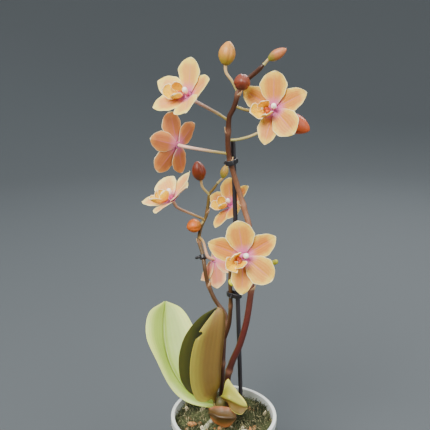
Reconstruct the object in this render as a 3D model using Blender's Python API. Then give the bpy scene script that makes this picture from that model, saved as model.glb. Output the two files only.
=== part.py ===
"""Potted moth orchid: a small two-spike orchid in a plain plastic pot.

The pot stands on the XY plane with its centre on the Z axis. The two flower spikes rise from a
short stem, the front one tied to a thin stake. Each flower is a ring of three sepals, a pair of
petals in front of it, a three-lobed lip and a column. Sizes are millimetres times MM.
"""

import math

import bmesh
import bpy
from mathutils import Vector

MM = 0.001

# Clearance between two pieces that touch.
GAP = 0.3 * MM

# Pot.
POT_HEIGHT = 68 * MM
POT_RIM_RADIUS = 35 * MM
POT_FOOT_RADIUS = 29.5 * MM
POT_WALL = 1.4 * MM
POT_FLOOR = 2.0 * MM
RIM_HEIGHT = 5.0 * MM
RIM_STEP = 1.0 * MM
DRAIN_RADIUS = 3.0 * MM
DRAIN_CIRCLE = 19 * MM
DRAIN_COUNT = 6
POT_SIDES = 44

# Growing medium.
MEDIUM_DEPTH_BELOW_RIM = 7 * MM
MEDIUM_DOME = 2.5 * MM
MEDIUM_RINGS = 5

# Short stem that carries the leaves and the spikes.
CROWN_X = -2.0 * MM
CROWN_Y = -1.0 * MM
CROWN_RADIUS = 4.5 * MM
CROWN_SOCKET_DEPTH = 7 * MM
CROWN_RISE = 20 * MM

# Leaves.
LEAF_THICKNESS = 1.5 * MM
LEAF_ROWS = 11

# Spikes, stalks and buds.
SPIKE_SIDES = 7
STALK_SIDES = 6
FRONT_SPIKE_FOOT_RADIUS = 2.2 * MM
FRONT_SPIKE_TIP_RADIUS = 1.3 * MM
REAR_SPIKE_FOOT_RADIUS = 1.8 * MM
REAR_SPIKE_TIP_RADIUS = 0.9 * MM
STALK_RADIUS = 0.8 * MM
REAR_BRANCH_RADIUS = 1.5 * MM
ROOT_RADIUS = 1.7 * MM

# Stake and clips.
STAKE_RADIUS = 1.4 * MM
STAKE_SOCKET_CLEARANCE = 0.4 * MM
STAKE_FOOT_Z = 22 * MM
CLIP_WALL = 0.9 * MM
CLIP_HEIGHT = 3.0 * MM
CLIP_CLEARANCE = 0.45 * MM

# One flower at scale 1.
TEPAL_THICKNESS = 0.9 * MM
TEPAL_MARGIN_THICKNESS = 0.5 * MM
HUB_RADIUS = 1.8 * MM
HUB_NECK = 1.15 * MM
SEPAL_LENGTH = 20 * MM
SEPAL_WIDTH = 13 * MM
PETAL_LENGTH = 19.5 * MM
PETAL_WIDTH = 16.5 * MM
PETAL_ANGLES = (21, 156)
MIDLOBE_LENGTH = 10.0 * MM
MIDLOBE_WIDTH = 6.5 * MM
SIDELOBE_LENGTH = 8.0 * MM
SIDELOBE_WIDTH = 5.0 * MM
LIP_DROP = 3.3 * MM
COLUMN_LENGTH = 6.5 * MM
COLUMN_RADIUS = 1.5 * MM
COLUMN_RISE = 1.7 * MM


def mm(*xyz):
    """A place in millimetres as a vector in metres."""
    return Vector(xyz) * MM


def plant(x, y, z):
    """A place on the plant in millimetres, with its height above the medium's edge."""
    return mm(x, y, z) + Vector((0, 0, POT_HEIGHT - MEDIUM_DEPTH_BELOW_RIM))


# Routes, from the foot up. Each is a smooth curve through these places, as all of the plant is
# placed by its height above the medium.
FRONT_SPIKE_ROUTE = [
    plant(4, -4.2, 15), plant(3.4, -3.6, 22), plant(2, -3.4, 27.5), plant(2.6, -5, 38.5),
    plant(5.3, -7, 49.7), plant(9.6, -9, 62), plant(13.4, -10, 77.4), plant(15.5, -9, 91.5),
    plant(16.2, -8, 100), plant(16.1, -6, 114.3), plant(15.8, -3, 126), plant(14.6, 0, 138.3),
    plant(12.6, 2, 145), plant(9.9, 3, 154.3), plant(6.7, 2.5, 164.5), plant(4.3, 2, 172.5),
    plant(2.4, 1, 180.3), plant(1.7, 0, 188.5), plant(2, -1, 196.8), plant(2.4, -2, 203.2),
    plant(4.6, -3, 207.8), plant(6, -4, 212.2), plant(7.4, -4, 217.9), plant(8.8, -4, 221.9),
    plant(13.6, -6, 225.7), plant(17.7, -8, 229.2), plant(21, -10, 232.7),
]
REAR_SPIKE_ROUTE = [
    plant(-1.6, 6, 15), plant(-1.1, 6.8, 28.2), plant(-0.8, 8, 36.8), plant(0.3, 13, 55),
    plant(1.6, 17, 65.2), plant(1, 18.5, 70), plant(-1.1, 20, 73.2), plant(-3.8, 21.5, 76),
    plant(-6.8, 22.5, 80.8), plant(-9.6, 24.4, 87), plant(-11.4, 25.2, 92.6),
    plant(-12.7, 26.5, 100.4), plant(-13.9, 30.5, 107.6), plant(-16.2, 34.5, 114.7),
    plant(-16.4, 36, 120), plant(-14.6, 38, 126.5), plant(-11.8, 39, 132.5),
    plant(-10.5, 40, 140), plant(-9.5, 41, 147.2), plant(-7.1, 41, 150.3), plant(-4.1, 41, 154.6),
]
REAR_BRANCH_ROUTE = [
    plant(0.5, 12.8, 56), plant(3.4, 12, 66), plant(4.3, 10.2, 79), plant(4.2, 8.7, 90),
    plant(3.8, 8.8, 97), plant(4.1, 10.5, 108.5), plant(4.8, 14, 118.5), plant(5.8, 20, 127),
    plant(6.8, 26, 133),
]
STAKE_TOP = plant(4.8, 6.3, 190)
STAKE_AT_MEDIUM = plant(11.5, 6, 15)

# Heights at which the clips sit.
CLIP_UPPER_Z = plant(0, 0, 176).z
CLIP_LOWER_Z = plant(0, 0, 89).z
CLIP_REAR_Z = plant(0, 0, 107).z
CLIP_GREEN_Z = plant(0, 0, 109).z

# The tab on the rear clip, and the arm behind the green clip, from the band that holds each.
REAR_TAB_REACH = mm(-3.2, 1, -1.5)
REAR_TAB_RADII = [1.0 * MM, 1.3 * MM]
GREEN_ARM = [mm(-12.5, 2.3, -9), mm(-8, 1.8, -5.5), mm(-1, 0.7, -1), mm(8, 1.2, 2.5),
             mm(16.5, 1, 6.5)]
GREEN_ARM_RADII = [2.4 * MM, 2.0 * MM, 1.3 * MM, 1.3 * MM, 1.6 * MM]

# What lies on the medium, in shares of its radius from the pot's axis.
BARK_CHIPS = {
    "bark_chip_pale": dict(at=(0.42, -0.59), radius=3.4 * MM),
    "bark_chip_tan": dict(at=(-0.65, -0.25), radius=2.2 * MM),
}
CHIP_STATIONS = [(-1.4, 0.35), (-0.9, 0.7), (0.1, 0.75), (1.0, 0.6), (1.5, 0.3)]
SURFACE_ROOT_ROUTE = [(-0.34, -0.28), (-0.47, -0.56), (-0.34, -0.75), (-0.09, -0.84)]
SURFACE_ROOT_WAY = Vector((-0.9, -0.45, 0)).normalized()

# Leaves: edge, midrib, other edge. Each row is a smooth curve through its places.
LEAVES = {
    "leaf_large": {
        "left": [plant(-7.5, 3.5, 9), plant(-22.5, 7, 9.5), plant(-34.5, 13, 16),
                 plant(-46, 24, 31), plant(-54.5, 38, 44), plant(-53.5, 49, 57),
                 plant(-43, 55.5, 63)],
        "rib": [plant(-6.5, 5, 11), plant(-19.5, 11, 12.5), plant(-31, 19, 20),
                plant(-39, 30, 29.5), plant(-42.5, 41, 41), plant(-43, 50, 52),
                plant(-42.2, 56, 62.5)],
        "right": [plant(-5.2, 7.5, 13), plant(-12, 12, 19), plant(-17, 21, 29),
                  plant(-18, 32, 39.5), plant(-21.5, 42.5, 49.5), plant(-30, 51.5, 59),
                  plant(-41.6, 56, 63)],
    },
    "leaf_upright": {
        "left": [plant(-6.5, -3.4, 17), plant(-7.6, -5, 20.5), plant(-9.5, -7.8, 22.5),
                 plant(-13, -12, 23.5), plant(-17.5, -16, 27.5), plant(-21, -19.5, 41.5),
                 plant(-21, -21.5, 58.5), plant(-17.5, -21.5, 72.5), plant(-12, -18, 81),
                 plant(-5, -12.5, 88.5)],
        "rib": [plant(-6.4, -1.8, 17), plant(-5.8, -2.8, 22), plant(-5.4, -4.2, 26),
                plant(-4.5, -6, 29.5), plant(-3.5, -8, 35.5), plant(-3, -10.5, 46),
                plant(-2, -12.5, 60.5), plant(-0.5, -13.5, 77.5), plant(-1, -13, 86),
                plant(-4.5, -12, 89)],
        "right": [plant(-6.3, 0, 17), plant(-8, -0.6, 19.5), plant(-10.5, -0.8, 20),
                  plant(-14.5, -1, 20.5), plant(-22, -1, 22.5), plant(-28, -0.5, 32),
                  plant(-29, 0, 48), plant(-25, -2, 64.5), plant(-15.5, -7.5, 80),
                  plant(-5, -11.5, 89)],
    },
    "leaf_small_right": {
        "left": [plant(-1, -5, 23), plant(0.5, -6.5, 31.5), plant(2.5, -8, 37.5),
                 plant(5.5, -8.5, 33.5), plant(9, -9, 28.5), plant(12.5, -11, 25),
                 plant(14.5, -12.5, 21.5)],
        "rib": [plant(-1, -6, 22.5), plant(0.5, -9.5, 25), plant(3, -12, 25.5),
                plant(6, -13, 24.5), plant(9, -13.5, 23), plant(12, -13.5, 21.5),
                plant(15, -13, 20.5)],
        "right": [plant(-0.5, -6.5, 21), plant(1.5, -10, 22), plant(3.5, -13, 20.5),
                  plant(6.5, -15.5, 18), plant(10, -16.5, 17), plant(12.5, -15.5, 18),
                  plant(14.5, -14, 20)],
    },
    "leaf_small_front": {
        "left": [plant(-6.5, -6, 14.5), plant(-9.5, -9, 16.5), plant(-6.5, -10, 19),
                 plant(-3, -11, 19.5), plant(0.5, -12, 20), plant(4, -13, 19.5),
                 plant(7.5, -14, 15)],
        "rib": [plant(-6.5, -6.5, 12), plant(-9.5, -10.5, 14.5), plant(-7, -14, 16),
                plant(-3.5, -17, 16), plant(0.5, -18, 16), plant(4.5, -17.5, 15.5),
                plant(8, -15, 14)],
        "right": [plant(-6, -6.5, 10), plant(-9, -9, 12), plant(-7.5, -12, 10), plant(-4, -15, 8.5),
                  plant(0.5, -16.5, 8), plant(4.5, -16.5, 9.5), plant(7.5, -15, 12.5)],
    },
}

# Flowers: place of the hub, the way the face points, the way the dorsal sepal points, size, how
# far the lobes tilt forward at their foot and tip in degrees, and the stalk's first places. A
# shaded flower is one whose sepals and petals, and lip and column, are each one piece.
FLOWERS = {
    "flower_top_left": dict(
        at=plant(-20.5, -3, 215), face=(-0.55, -0.66, 0.51), dorsal=(0.84, -0.47, 0.28), size=0.97,
        cup=(32, 20), laterals=(238, 290), spike="front",
        stalk=[plant(2.2, -1.5, 201), plant(-5, -1, 205.5)]),
    "flower_top_right": dict(
        at=plant(27.5, -9, 208.5), face=(-0.4, -0.88, 0.24), dorsal=(0.85, -0.3, 0.43), size=0.95,
        cup=(20, 3), laterals=(217, 327), spike="front",
        stalk=[plant(5.2, -3.4, 209.5), plant(14, -3, 207)]),
    "flower_front": dict(
        at=plant(10.8, -19, 124.6), face=(-0.06, -0.97, 0.24), dorsal=(0.85, 0.1, 0.52), size=1.0,
        cup=(20, 2), laterals=(217, 325), spike="front",
        stalk=[plant(15.4, -1, 132), plant(13, -7, 132)]),
    "flower_left_back": dict(
        at=plant(-27.5, 4, 186), face=(-0.74, 0.67, 0.06), dorsal=(-0.64, -0.72, 0.27), size=0.91,
        cup=(16, 5), laterals=(222, 324), spike="front",
        stalk=[plant(2.2, 1, 181.3), plant(-10, -1, 183.5)]),
    "flower_rear_left": dict(
        at=plant(-34, 38, 143.3), face=(-0.52, -0.23, 0.82), dorsal=(0.71, 0.43, 0.56), size=1.03,
        cup=(28, 12), laterals=(219, 308), spike="rear",
        stalk=[plant(-12.6, 38.6, 130), plant(-21, 38, 134)]),
    "flower_rear_centre": dict(
        at=plant(5.2, 26.8, 142.7), face=(-0.65, -0.48, 0.59), dorsal=(0.74, -0.24, 0.63), size=0.86,
        cup=(26, 10), laterals=(217, 318), spike="branch",
        stalk=[plant(7, 27, 134.5), plant(7.6, 29, 137)]),
    "flower_rear_low": dict(
        at=plant(-6.2, 28.8, 105), face=(0.7, 0.45, -0.55), dorsal=(0.6, -0.79, 0.12), size=0.88,
        cup=(24, 8), laterals=(217, 325), spike="rear", shaded=True,
        stalk=[plant(-16.4, 35.7, 118.5), plant(-13.5, 30, 117)]),
}

# Buds: the spike that it grows from, the stalk's places, the bud's tip and its largest radius.
BUDS = {
    "bud_top": dict(
        spike="front",
        stalk=[plant(7.1, -4, 217), plant(4, -4, 223), plant(0.5, -4, 228), plant(0, -4, 232)],
        tip=plant(2, -4, 245), radius=4.7 * MM),
    "bud_end_on": dict(
        spike="front", stalk=[plant(9.2, -4.2, 222), plant(9.1, -7.5, 222.6)], tip=plant(9, -17.5, 224),
        radius=4.5 * MM),
    "bud_spike_end": dict(
        spike="front", stalk=[plant(21, -10, 232.7), plant(23.3, -11, 235.3)], tip=plant(32.5, -15, 241),
        radius=2.8 * MM),
    "bud_opening": dict(
        spike="front", stalk=[plant(1.9, 0.5, 189.5), plant(8, 0, 190), plant(17, 1, 192.5),
                              plant(26, 3, 197.5), plant(33, 4.5, 202)],
        tip=plant(49.5, 2, 195), radius=5.6 * MM),
    "bud_rear_orange": dict(
        spike="rear", stalk=[plant(-13.8, 38.3, 128.5), plant(-15.5, 36, 127.5)],
        tip=plant(-24.5, 32, 126.5), radius=4.7 * MM),
    "bud_rear_upper": dict(
        spike="rear", stalk=[plant(-9.8, 41, 147), plant(-14, 40, 152), plant(-15.2, 39, 157)],
        tip=plant(-17.6, 38, 170), radius=4.6 * MM),
    "bud_rear_tip": dict(
        spike="rear", stalk=[plant(-4.1, 41, 154.6), plant(-0.8, 41, 158)], tip=plant(1.8, 41, 167),
        radius=2.6 * MM),
}


def material(name, colour, roughness, coat=0.0):
    made = bpy.data.materials.new(name)
    made.use_nodes = True
    shader = made.node_tree.nodes["Principled BSDF"]
    shader.inputs["Base Color"].default_value = (*colour, 1)
    shader.inputs["Roughness"].default_value = roughness
    shader.inputs["Coat Weight"].default_value = coat
    return made


def add_object(name, bm, finish):
    """Closes the bmesh into a smooth-shaded object of its own."""
    bmesh.ops.recalc_face_normals(bm, faces=bm.faces)
    mesh = bpy.data.meshes.new(name)
    bm.to_mesh(mesh)
    bm.free()
    mesh.shade_smooth()
    mesh.set_sharp_from_angle(angle=math.radians(50))
    mesh.materials.append(finish)
    made = bpy.data.objects.new(name, mesh)
    bpy.context.scene.collection.objects.link(made)
    return made


def catmull_rom(p0, p1, p2, p3, t):
    return 0.5 * (
        2 * p1 + (p2 - p0) * t + (2 * p0 - 5 * p1 + 4 * p2 - p3) * t * t
        + (3 * p1 - p0 - 3 * p2 + p3) * t**3
    )


def along(places, share):
    """The place at a share from 0 to 1 of a smooth curve through the given places."""
    count = len(places) - 1
    at = min(share * count, count - 1e-6)
    i = int(at)
    before = places[i - 1] if i else 2 * places[0] - places[1]
    after = places[i + 2] if i + 2 <= count else 2 * places[count] - places[count - 1]
    return catmull_rom(before, places[i], places[i + 1], after, at - i)


def smooth_route(places, step):
    """A route through the places with a point about every step."""
    length = sum((b - a).length for a, b in zip(places, places[1:]))
    count = max(2, round(length / step))
    fine = [along(places, i / (count * 8)) for i in range(count * 8 + 1)]
    run = [0.0]
    for a, b in zip(fine, fine[1:]):
        run.append(run[-1] + (b - a).length)
    route = [fine[0]]
    j = 0
    for i in range(1, count):
        while run[j + 1] < run[-1] * i / count:
            j += 1
        route.append(fine[j + 1])
    route.append(fine[-1])
    return route


def tube(bm, route, radii, sides):
    """A closed tube along the route with a radius at each point and flat ends."""
    rings = []
    tangent = (route[1] - route[0]).normalized()
    across = tangent.orthogonal().normalized()
    for i, place in enumerate(route):
        ahead = route[min(i + 1, len(route) - 1)] - route[max(i - 1, 0)]
        turned = ahead.normalized()
        across = (tangent.rotation_difference(turned) @ across).normalized()
        tangent = turned
        other = tangent.cross(across)
        ring = [
            bm.verts.new(place + radii[i] * (across * math.cos(a) + other * math.sin(a)))
            for a in (math.tau * k / sides for k in range(sides))
        ]
        rings.append(ring)
    for low, high in zip(rings, rings[1:]):
        for k in range(sides):
            bm.faces.new((low[k], low[(k + 1) % sides], high[(k + 1) % sides], high[k]))
    bm.faces.new(rings[0][::-1])
    bm.faces.new(rings[-1])


def tube_object(name, route, radii, sides, finish):
    bm = bmesh.new()
    tube(bm, route, radii, sides)
    return add_object(name, bm, finish)


def turned(name, profile, sides, finish):
    """A closed solid turned about Z from a profile of radius and height; radius 0 is a pole."""
    bm = bmesh.new()
    rings = []
    for radius, height in profile:
        if radius == 0:
            rings.append([bm.verts.new((0, 0, height))])
            continue
        rings.append([
            bm.verts.new((radius * math.cos(a), radius * math.sin(a), height))
            for a in (math.tau * k / sides for k in range(sides))
        ])
    for low, high in zip(rings, rings[1:]):
        for k in range(sides):
            ahead = (k + 1) % sides
            corners = [low[k % len(low)], low[ahead % len(low)],
                       high[ahead % len(high)], high[k % len(high)]]
            bm.faces.new(list(dict.fromkeys(corners)))
    return add_object(name, bm, finish)


def cylinder(name, radius, foot, top, sides, finish):
    return tube_object(name, [foot, top], [radius, radius], sides, finish)


def boolean(target, other, operation):
    """Joins the other solid to the target, or cuts it away, and removes it."""
    step = target.modifiers.new(operation.title(), "BOOLEAN")
    step.operation = operation
    step.object = other
    step.solver = "EXACT"
    other.hide_render = True
    other.display_type = "WIRE"


def pot_inner_radius(height):
    """Radius of the pot's inner wall at a height."""
    share = (height - POT_FLOOR) / (POT_HEIGHT - POT_FLOOR)
    outer = POT_FOOT_RADIUS + (POT_RIM_RADIUS - RIM_STEP - POT_FOOT_RADIUS) * share
    return outer - POT_WALL


def make_pot(finish, cutters):
    body = POT_RIM_RADIUS - RIM_STEP
    under_rim = POT_HEIGHT - RIM_HEIGHT
    bead = POT_WALL * 0.4
    inner_top = POT_RIM_RADIUS - RIM_STEP - POT_WALL
    profile = [
        (0, 0), (POT_FOOT_RADIUS - bead, 0), (POT_FOOT_RADIUS, bead),
        (body, under_rim), (POT_RIM_RADIUS, under_rim + RIM_STEP),
        (POT_RIM_RADIUS, POT_HEIGHT - bead), (POT_RIM_RADIUS - bead, POT_HEIGHT),
        (inner_top + bead, POT_HEIGHT), (inner_top, POT_HEIGHT - bead),
        (pot_inner_radius(POT_FLOOR), POT_FLOOR), (0, POT_FLOOR),
    ]
    pot = turned("pot", profile, POT_SIDES, finish)
    for k in range(DRAIN_COUNT):
        angle = math.tau * (k + 0.5) / DRAIN_COUNT
        at = Vector((math.cos(angle), math.sin(angle), 0)) * DRAIN_CIRCLE
        up = Vector((0, 0, POT_FLOOR))
        cutter = cylinder(f"drain_cutter_{k}", DRAIN_RADIUS, at - up, at + 2 * up, 12, cutters)
        boolean(pot, cutter, "DIFFERENCE")
    return pot


def medium_height(radius, angle):
    """Height of the medium's surface: a low dome with lumps and hollows."""
    edge = pot_inner_radius(POT_HEIGHT - MEDIUM_DEPTH_BELOW_RIM)
    share = min(radius / edge, 1)
    lumps = math.sin(3 * angle + 1) * math.sin(5 * share * math.pi) * share
    lumps += 0.6 * math.sin(7 * angle + 4 * share)
    return POT_HEIGHT - MEDIUM_DEPTH_BELOW_RIM + MEDIUM_DOME * (1 - share**2) + lumps * 0.8 * MM


def make_medium(finish, cutters):
    sides = 32
    foot = POT_FLOOR + GAP
    top = POT_HEIGHT - MEDIUM_DEPTH_BELOW_RIM
    cut = math.cos(math.pi / POT_SIDES)
    foot_radius = pot_inner_radius(foot) * cut - GAP
    edge_radius = pot_inner_radius(top) * cut - GAP
    bm = bmesh.new()
    bottom = [
        bm.verts.new((foot_radius * math.cos(a), foot_radius * math.sin(a), foot))
        for a in (math.tau * k / sides for k in range(sides))
    ]
    rings = [bottom]
    for ring in range(MEDIUM_RINGS, 0, -1):
        radius = edge_radius * ring / MEDIUM_RINGS
        made = []
        for k in range(sides):
            angle = math.tau * k / sides
            height = top if ring == MEDIUM_RINGS else medium_height(radius, angle)
            made.append(bm.verts.new((radius * math.cos(angle), radius * math.sin(angle), height)))
        rings.append(made)
    for low, high in zip(rings, rings[1:]):
        for k in range(sides):
            bm.faces.new((low[k], low[(k + 1) % sides], high[(k + 1) % sides], high[k]))
    bm.faces.new(bottom[::-1])
    middle = bm.verts.new((0, 0, medium_height(0, 0)))
    for k in range(sides):
        bm.faces.new((rings[-1][k], rings[-1][(k + 1) % sides], middle))
    medium = add_object("growing_medium", bm, finish)
    lift = Vector((0, 0, CROWN_SOCKET_DEPTH + CROWN_RISE))
    socket = cylinder("crown_cutter", CROWN_RADIUS + 2 * GAP, crown_foot() - Vector((0, 0, GAP)),
                      crown_foot() + lift, 16, cutters)
    boolean(medium, socket, "DIFFERENCE")
    foot_place, top_place = stake_ends()
    along_stake = (top_place - foot_place).normalized()
    bore = cylinder("stake_cutter", STAKE_RADIUS + STAKE_SOCKET_CLEARANCE,
                    foot_place - along_stake * GAP, foot_place + along_stake * POT_HEIGHT, 10,
                    cutters)
    boolean(medium, bore, "DIFFERENCE")
    return medium


def crown_foot():
    return Vector((CROWN_X, CROWN_Y, POT_HEIGHT - MEDIUM_DEPTH_BELOW_RIM - CROWN_SOCKET_DEPTH))


CROWN_STEPS = [(0, 0.7), (0.15, 0.95), (0.45, 1.0), (0.68, 1.0), (0.88, 0.9), (1, 0.6)]


def crown_radius(height):
    """Radius of the crown at a height, held at its ends."""
    share = (height - crown_foot().z) / (CROWN_SOCKET_DEPTH + CROWN_RISE)
    share = min(max(share, 0), 1)
    for (low, narrow), (high, wide) in zip(CROWN_STEPS, CROWN_STEPS[1:]):
        if share <= high:
            break
    return CROWN_RADIUS * (narrow + (wide - narrow) * (share - low) / (high - low))


def beside_crown(place, half_thickness):
    """The place moved level until something of that half thickness there clears the crown."""
    axis = Vector((CROWN_X, CROWN_Y, place.z))
    return axis + (place - axis).normalized() * (crown_radius(place.z) + half_thickness + GAP)


def make_crown(finish):
    top = CROWN_SOCKET_DEPTH + CROWN_RISE
    route = [crown_foot() + Vector((0, 0, share * top)) for share, _ in CROWN_STEPS]
    radii = [CROWN_RADIUS * wide for _, wide in CROWN_STEPS]
    return tube_object("plant_crown", route, radii, 12, finish)


def stake_ends():
    along_stake = (STAKE_TOP - STAKE_AT_MEDIUM).normalized()
    down = (STAKE_AT_MEDIUM.z - STAKE_FOOT_Z) / along_stake.z
    return STAKE_AT_MEDIUM - along_stake * down, STAKE_TOP


def make_stake(finish):
    foot, top = stake_ends()
    along_stake = (top - foot).normalized()
    route = [foot, foot + along_stake * 6 * MM, top - along_stake * 1 * MM, top]
    radii = [STAKE_RADIUS * 0.4, STAKE_RADIUS, STAKE_RADIUS, STAKE_RADIUS * 0.6]
    return tube_object("stake", route, radii, 8, finish)


def make_leaf(name, edges, finish):
    """A leaf lofted from the crown between its two edges over its midrib."""
    rows, half = LEAF_ROWS, 3
    edges = {
        key: [beside_crown(places[0], LEAF_THICKNESS / 2), *places[1:]]
        for key, places in edges.items()
    }
    bm = bmesh.new()
    middle = []
    for i in range(rows + 1):
        share = i / rows
        left, rib, right = (along(edges[key], share) for key in ("left", "rib", "right"))
        row = [left.lerp(rib, k / half) for k in range(half)]
        row += [rib.lerp(right, k / half) for k in range(half + 1)]
        middle.append(row)
    across = 2 * half

    def sheet(i, k):
        return middle[min(max(i, 0), rows)][min(max(k, 0), across)]

    upper, lower = [], []
    for i in range(rows + 1):
        up_row, low_row = [], []
        for k in range(across + 1):
            lengthways = sheet(i + 1, k) - sheet(i - 1, k)
            crossways = sheet(i, k + 1) - sheet(i, k - 1)
            normal = lengthways.cross(crossways).normalized()
            rim = k in (0, across) or i == rows
            thick = LEAF_THICKNESS * (0.3 if rim else 0.5)
            up_row.append(bm.verts.new(middle[i][k] + normal * thick))
            low_row.append(bm.verts.new(middle[i][k] - normal * thick))
        upper.append(up_row)
        lower.append(low_row)
    close_sheet(bm, upper, lower)
    return add_object(name, bm, finish)


def close_sheet(bm, upper, lower, open_foot=False):
    """Faces of a thin closed sheet from two grids of corners. An open foot is left to the caller."""
    rows, across = len(upper) - 1, len(upper[0]) - 1
    for i in range(rows):
        for k in range(across):
            bm.faces.new((upper[i][k], upper[i][k + 1], upper[i + 1][k + 1], upper[i + 1][k]))
            bm.faces.new((lower[i][k], lower[i + 1][k], lower[i + 1][k + 1], lower[i][k + 1]))
    for k in range(across):
        bm.faces.new((upper[rows][k], upper[rows][k + 1], lower[rows][k + 1], lower[rows][k]))
        if not open_foot:
            bm.faces.new((upper[0][k + 1], upper[0][k], lower[0][k], lower[0][k + 1]))
    for i in range(rows):
        bm.faces.new((upper[i][0], upper[i + 1][0], lower[i + 1][0], lower[i][0]))
        bm.faces.new((upper[i + 1][across], upper[i][across], lower[i][across],
                      lower[i + 1][across]))


def flower_axes(flower):
    """Right, up (towards the dorsal sepal) and face directions of a flower."""
    face = Vector(flower["face"]).normalized()
    dorsal = Vector(flower["dorsal"])
    up = (dorsal - face * dorsal.dot(face)).normalized()
    return up.cross(face), up, face


LOBE_STATIONS = [(0.0, 0.0), (0.2, 0.62), (0.45, 0.95), (0.68, 1.0), (0.87, 0.74), (1.0, 0.28)]


def lobe_grid(bm, origin, axes, lobe, size):
    """Upper and lower corners of one sepal, petal or lip lobe that leaves the hub at an angle."""
    right, up, face = axes
    angle = math.radians(lobe["angle"])
    out = right * math.cos(angle) + up * math.sin(angle)
    side = face.cross(out)
    neck, across = lobe["neck"] * size, lobe["across"]
    place = origin + out * lobe["hub"] * size
    upper, lower = [], []
    before = 0.0
    for share, wide in LOBE_STATIONS:
        tilt = math.radians(lobe["cup"][0] + (lobe["cup"][1] - lobe["cup"][0]) * share)
        ahead = out * math.cos(tilt) + face * math.sin(tilt)
        normal = face * math.cos(tilt) - out * math.sin(tilt)
        place = place + ahead * (share - before) * lobe["length"] * size
        before = share
        half_width = neck + (lobe["width"] * size / 2 - neck) * wide
        up_row, low_row = [], []
        for k in range(across + 1):
            t = 2 * k / across - 1
            curl = lobe["channel"] * half_width * t * t * (share > 0)
            thick = TEPAL_THICKNESS + (TEPAL_MARGIN_THICKNESS - TEPAL_THICKNESS) * abs(t)
            middle = place - side * t * half_width + normal * curl
            up_row.append(bm.verts.new(middle + normal * thick / 2))
            low_row.append(bm.verts.new(middle - normal * thick / 2))
        upper.append(up_row)
        lower.append(low_row)
    return upper, lower


def whorl(name, origin, axes, lobes, size, finish):
    """Lobes joined round one hub as one solid. The lobes' angles go round anticlockwise."""
    bm = bmesh.new()
    grids = [lobe_grid(bm, origin, axes, lobe, size) for lobe in lobes]
    for upper, lower in grids:
        close_sheet(bm, upper, lower, open_foot=True)
    upper_loop, lower_loop = [], []
    for upper, lower in grids:
        upper_loop += upper[0][::-1]
        lower_loop += lower[0][::-1]
    bm.faces.new(upper_loop)
    bm.faces.new(lower_loop[::-1])
    for i, (upper, lower) in enumerate(grids):
        following = grids[(i + 1) % len(grids)]
        bm.faces.new((upper[0][0], following[0][0][-1], following[1][0][-1], lower[0][0]))
    return add_object(name, bm, finish)


def lobe(angle, length, width, cup, channel=0.12, across=4, hub=HUB_RADIUS, neck=HUB_NECK):
    return dict(angle=angle, length=length, width=width, cup=cup, channel=channel,
                across=across, hub=hub, neck=neck)


def make_flower(name, flower, finishes, spikes):
    right, up, face = axes = flower_axes(flower)
    size = flower["size"]
    at = flower["at"]
    whole = flower.get("shaded", False)
    layer = TEPAL_THICKNESS * 0.75 if whole else TEPAL_THICKNESS + GAP
    cup = flower["cup"]
    sepals = [
        lobe(angle, SEPAL_LENGTH, SEPAL_WIDTH, cup) for angle in (90, *flower["laterals"])
    ]
    petals = [
        lobe(angle, PETAL_LENGTH, PETAL_WIDTH, (cup[0] + 1, cup[1] + 3)) for angle in PETAL_ANGLES
    ]
    petal_origin = at + face * layer
    outer = whorl(f"{name}_sepals", at, axes, sepals, size, finishes["sepal"])
    inner = whorl(f"{name}_petals", petal_origin, axes, petals, size, finishes["petal"])
    lip_origin = petal_origin + face * 2.2 * MM - up * LIP_DROP * size
    lip_lobes = [
        lobe(0, SIDELOBE_LENGTH, SIDELOBE_WIDTH, (72, 84), 0.05, 2, 1.3 * MM, 0.8 * MM),
        lobe(180, SIDELOBE_LENGTH, SIDELOBE_WIDTH, (72, 84), 0.05, 2, 1.3 * MM, 0.8 * MM),
        lobe(270, MIDLOBE_LENGTH, MIDLOBE_WIDTH, (38, 62), 0.25, 2, 1.3 * MM, 0.8 * MM),
    ]
    lip = whorl(f"{name}_lip", lip_origin, axes, lip_lobes, size, finishes["lip"])
    foot = petal_origin + face * (TEPAL_THICKNESS + GAP) + up * 0.3 * MM
    if whole:
        foot = lip_origin
    bend = [(0, 0, 0.7), (0.25, 0.3, 0.8), (0.6, 0.8, 1.0), (0.85, 1.0, 0.9), (1, 1.0, 0.45)]
    rise = COLUMN_RISE * size + (LIP_DROP * size if whole else 0)
    route = [foot + face * COLUMN_LENGTH * size * out + up * rise * high for out, high, _ in bend]
    radii = [COLUMN_RADIUS * size * wide for _, _, wide in bend]
    column = tube_object(f"{name}_column", route, radii, 8, finishes["column"])
    if whole:
        boolean(outer, inner, "UNION")
        boolean(lip, column, "UNION")
        outer.name = f"{name}_perianth"
        lip.name = f"{name}_lip_and_column"
    make_flower_stalk(name, flower, face, finishes["stalk"], spikes)


def off_the_spike(places, spike):
    """The stalk's places with its foot moved clear of the spike's surface."""
    route, radii = spike
    first, second = places[:2]
    i = min(range(len(route)), key=lambda k: (route[k] - first).length)
    ahead = (route[min(i + 1, len(route) - 1)] - route[max(i - 1, 0)]).normalized()
    if i == len(route) - 1:
        return [route[i] + ahead * GAP, *places[1:]]
    centre = route[i] + ahead * (first - route[i]).dot(ahead)
    out = (second - centre).normalized()
    lean = abs(out.dot(ahead))
    clear = (radii[i] + GAP + STALK_RADIUS * lean) / math.sqrt(1 - lean**2)
    return [centre + out * clear, *places[1:]]


def make_flower_stalk(name, flower, face, finish, spikes):
    """The stalk from the spike to the back of the flower, thicker where the ovary is."""
    end = flower["at"] - face * (TEPAL_THICKNESS / 2 + GAP)
    places = off_the_spike([*flower["stalk"], end - face * 6 * MM, end], spikes[flower["spike"]])
    route = smooth_route(places, 4 * MM)
    radii = stalk_radii(route, 1.35)
    tube_object(f"{name}_stalk", route, radii, STALK_SIDES, finish)


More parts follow.
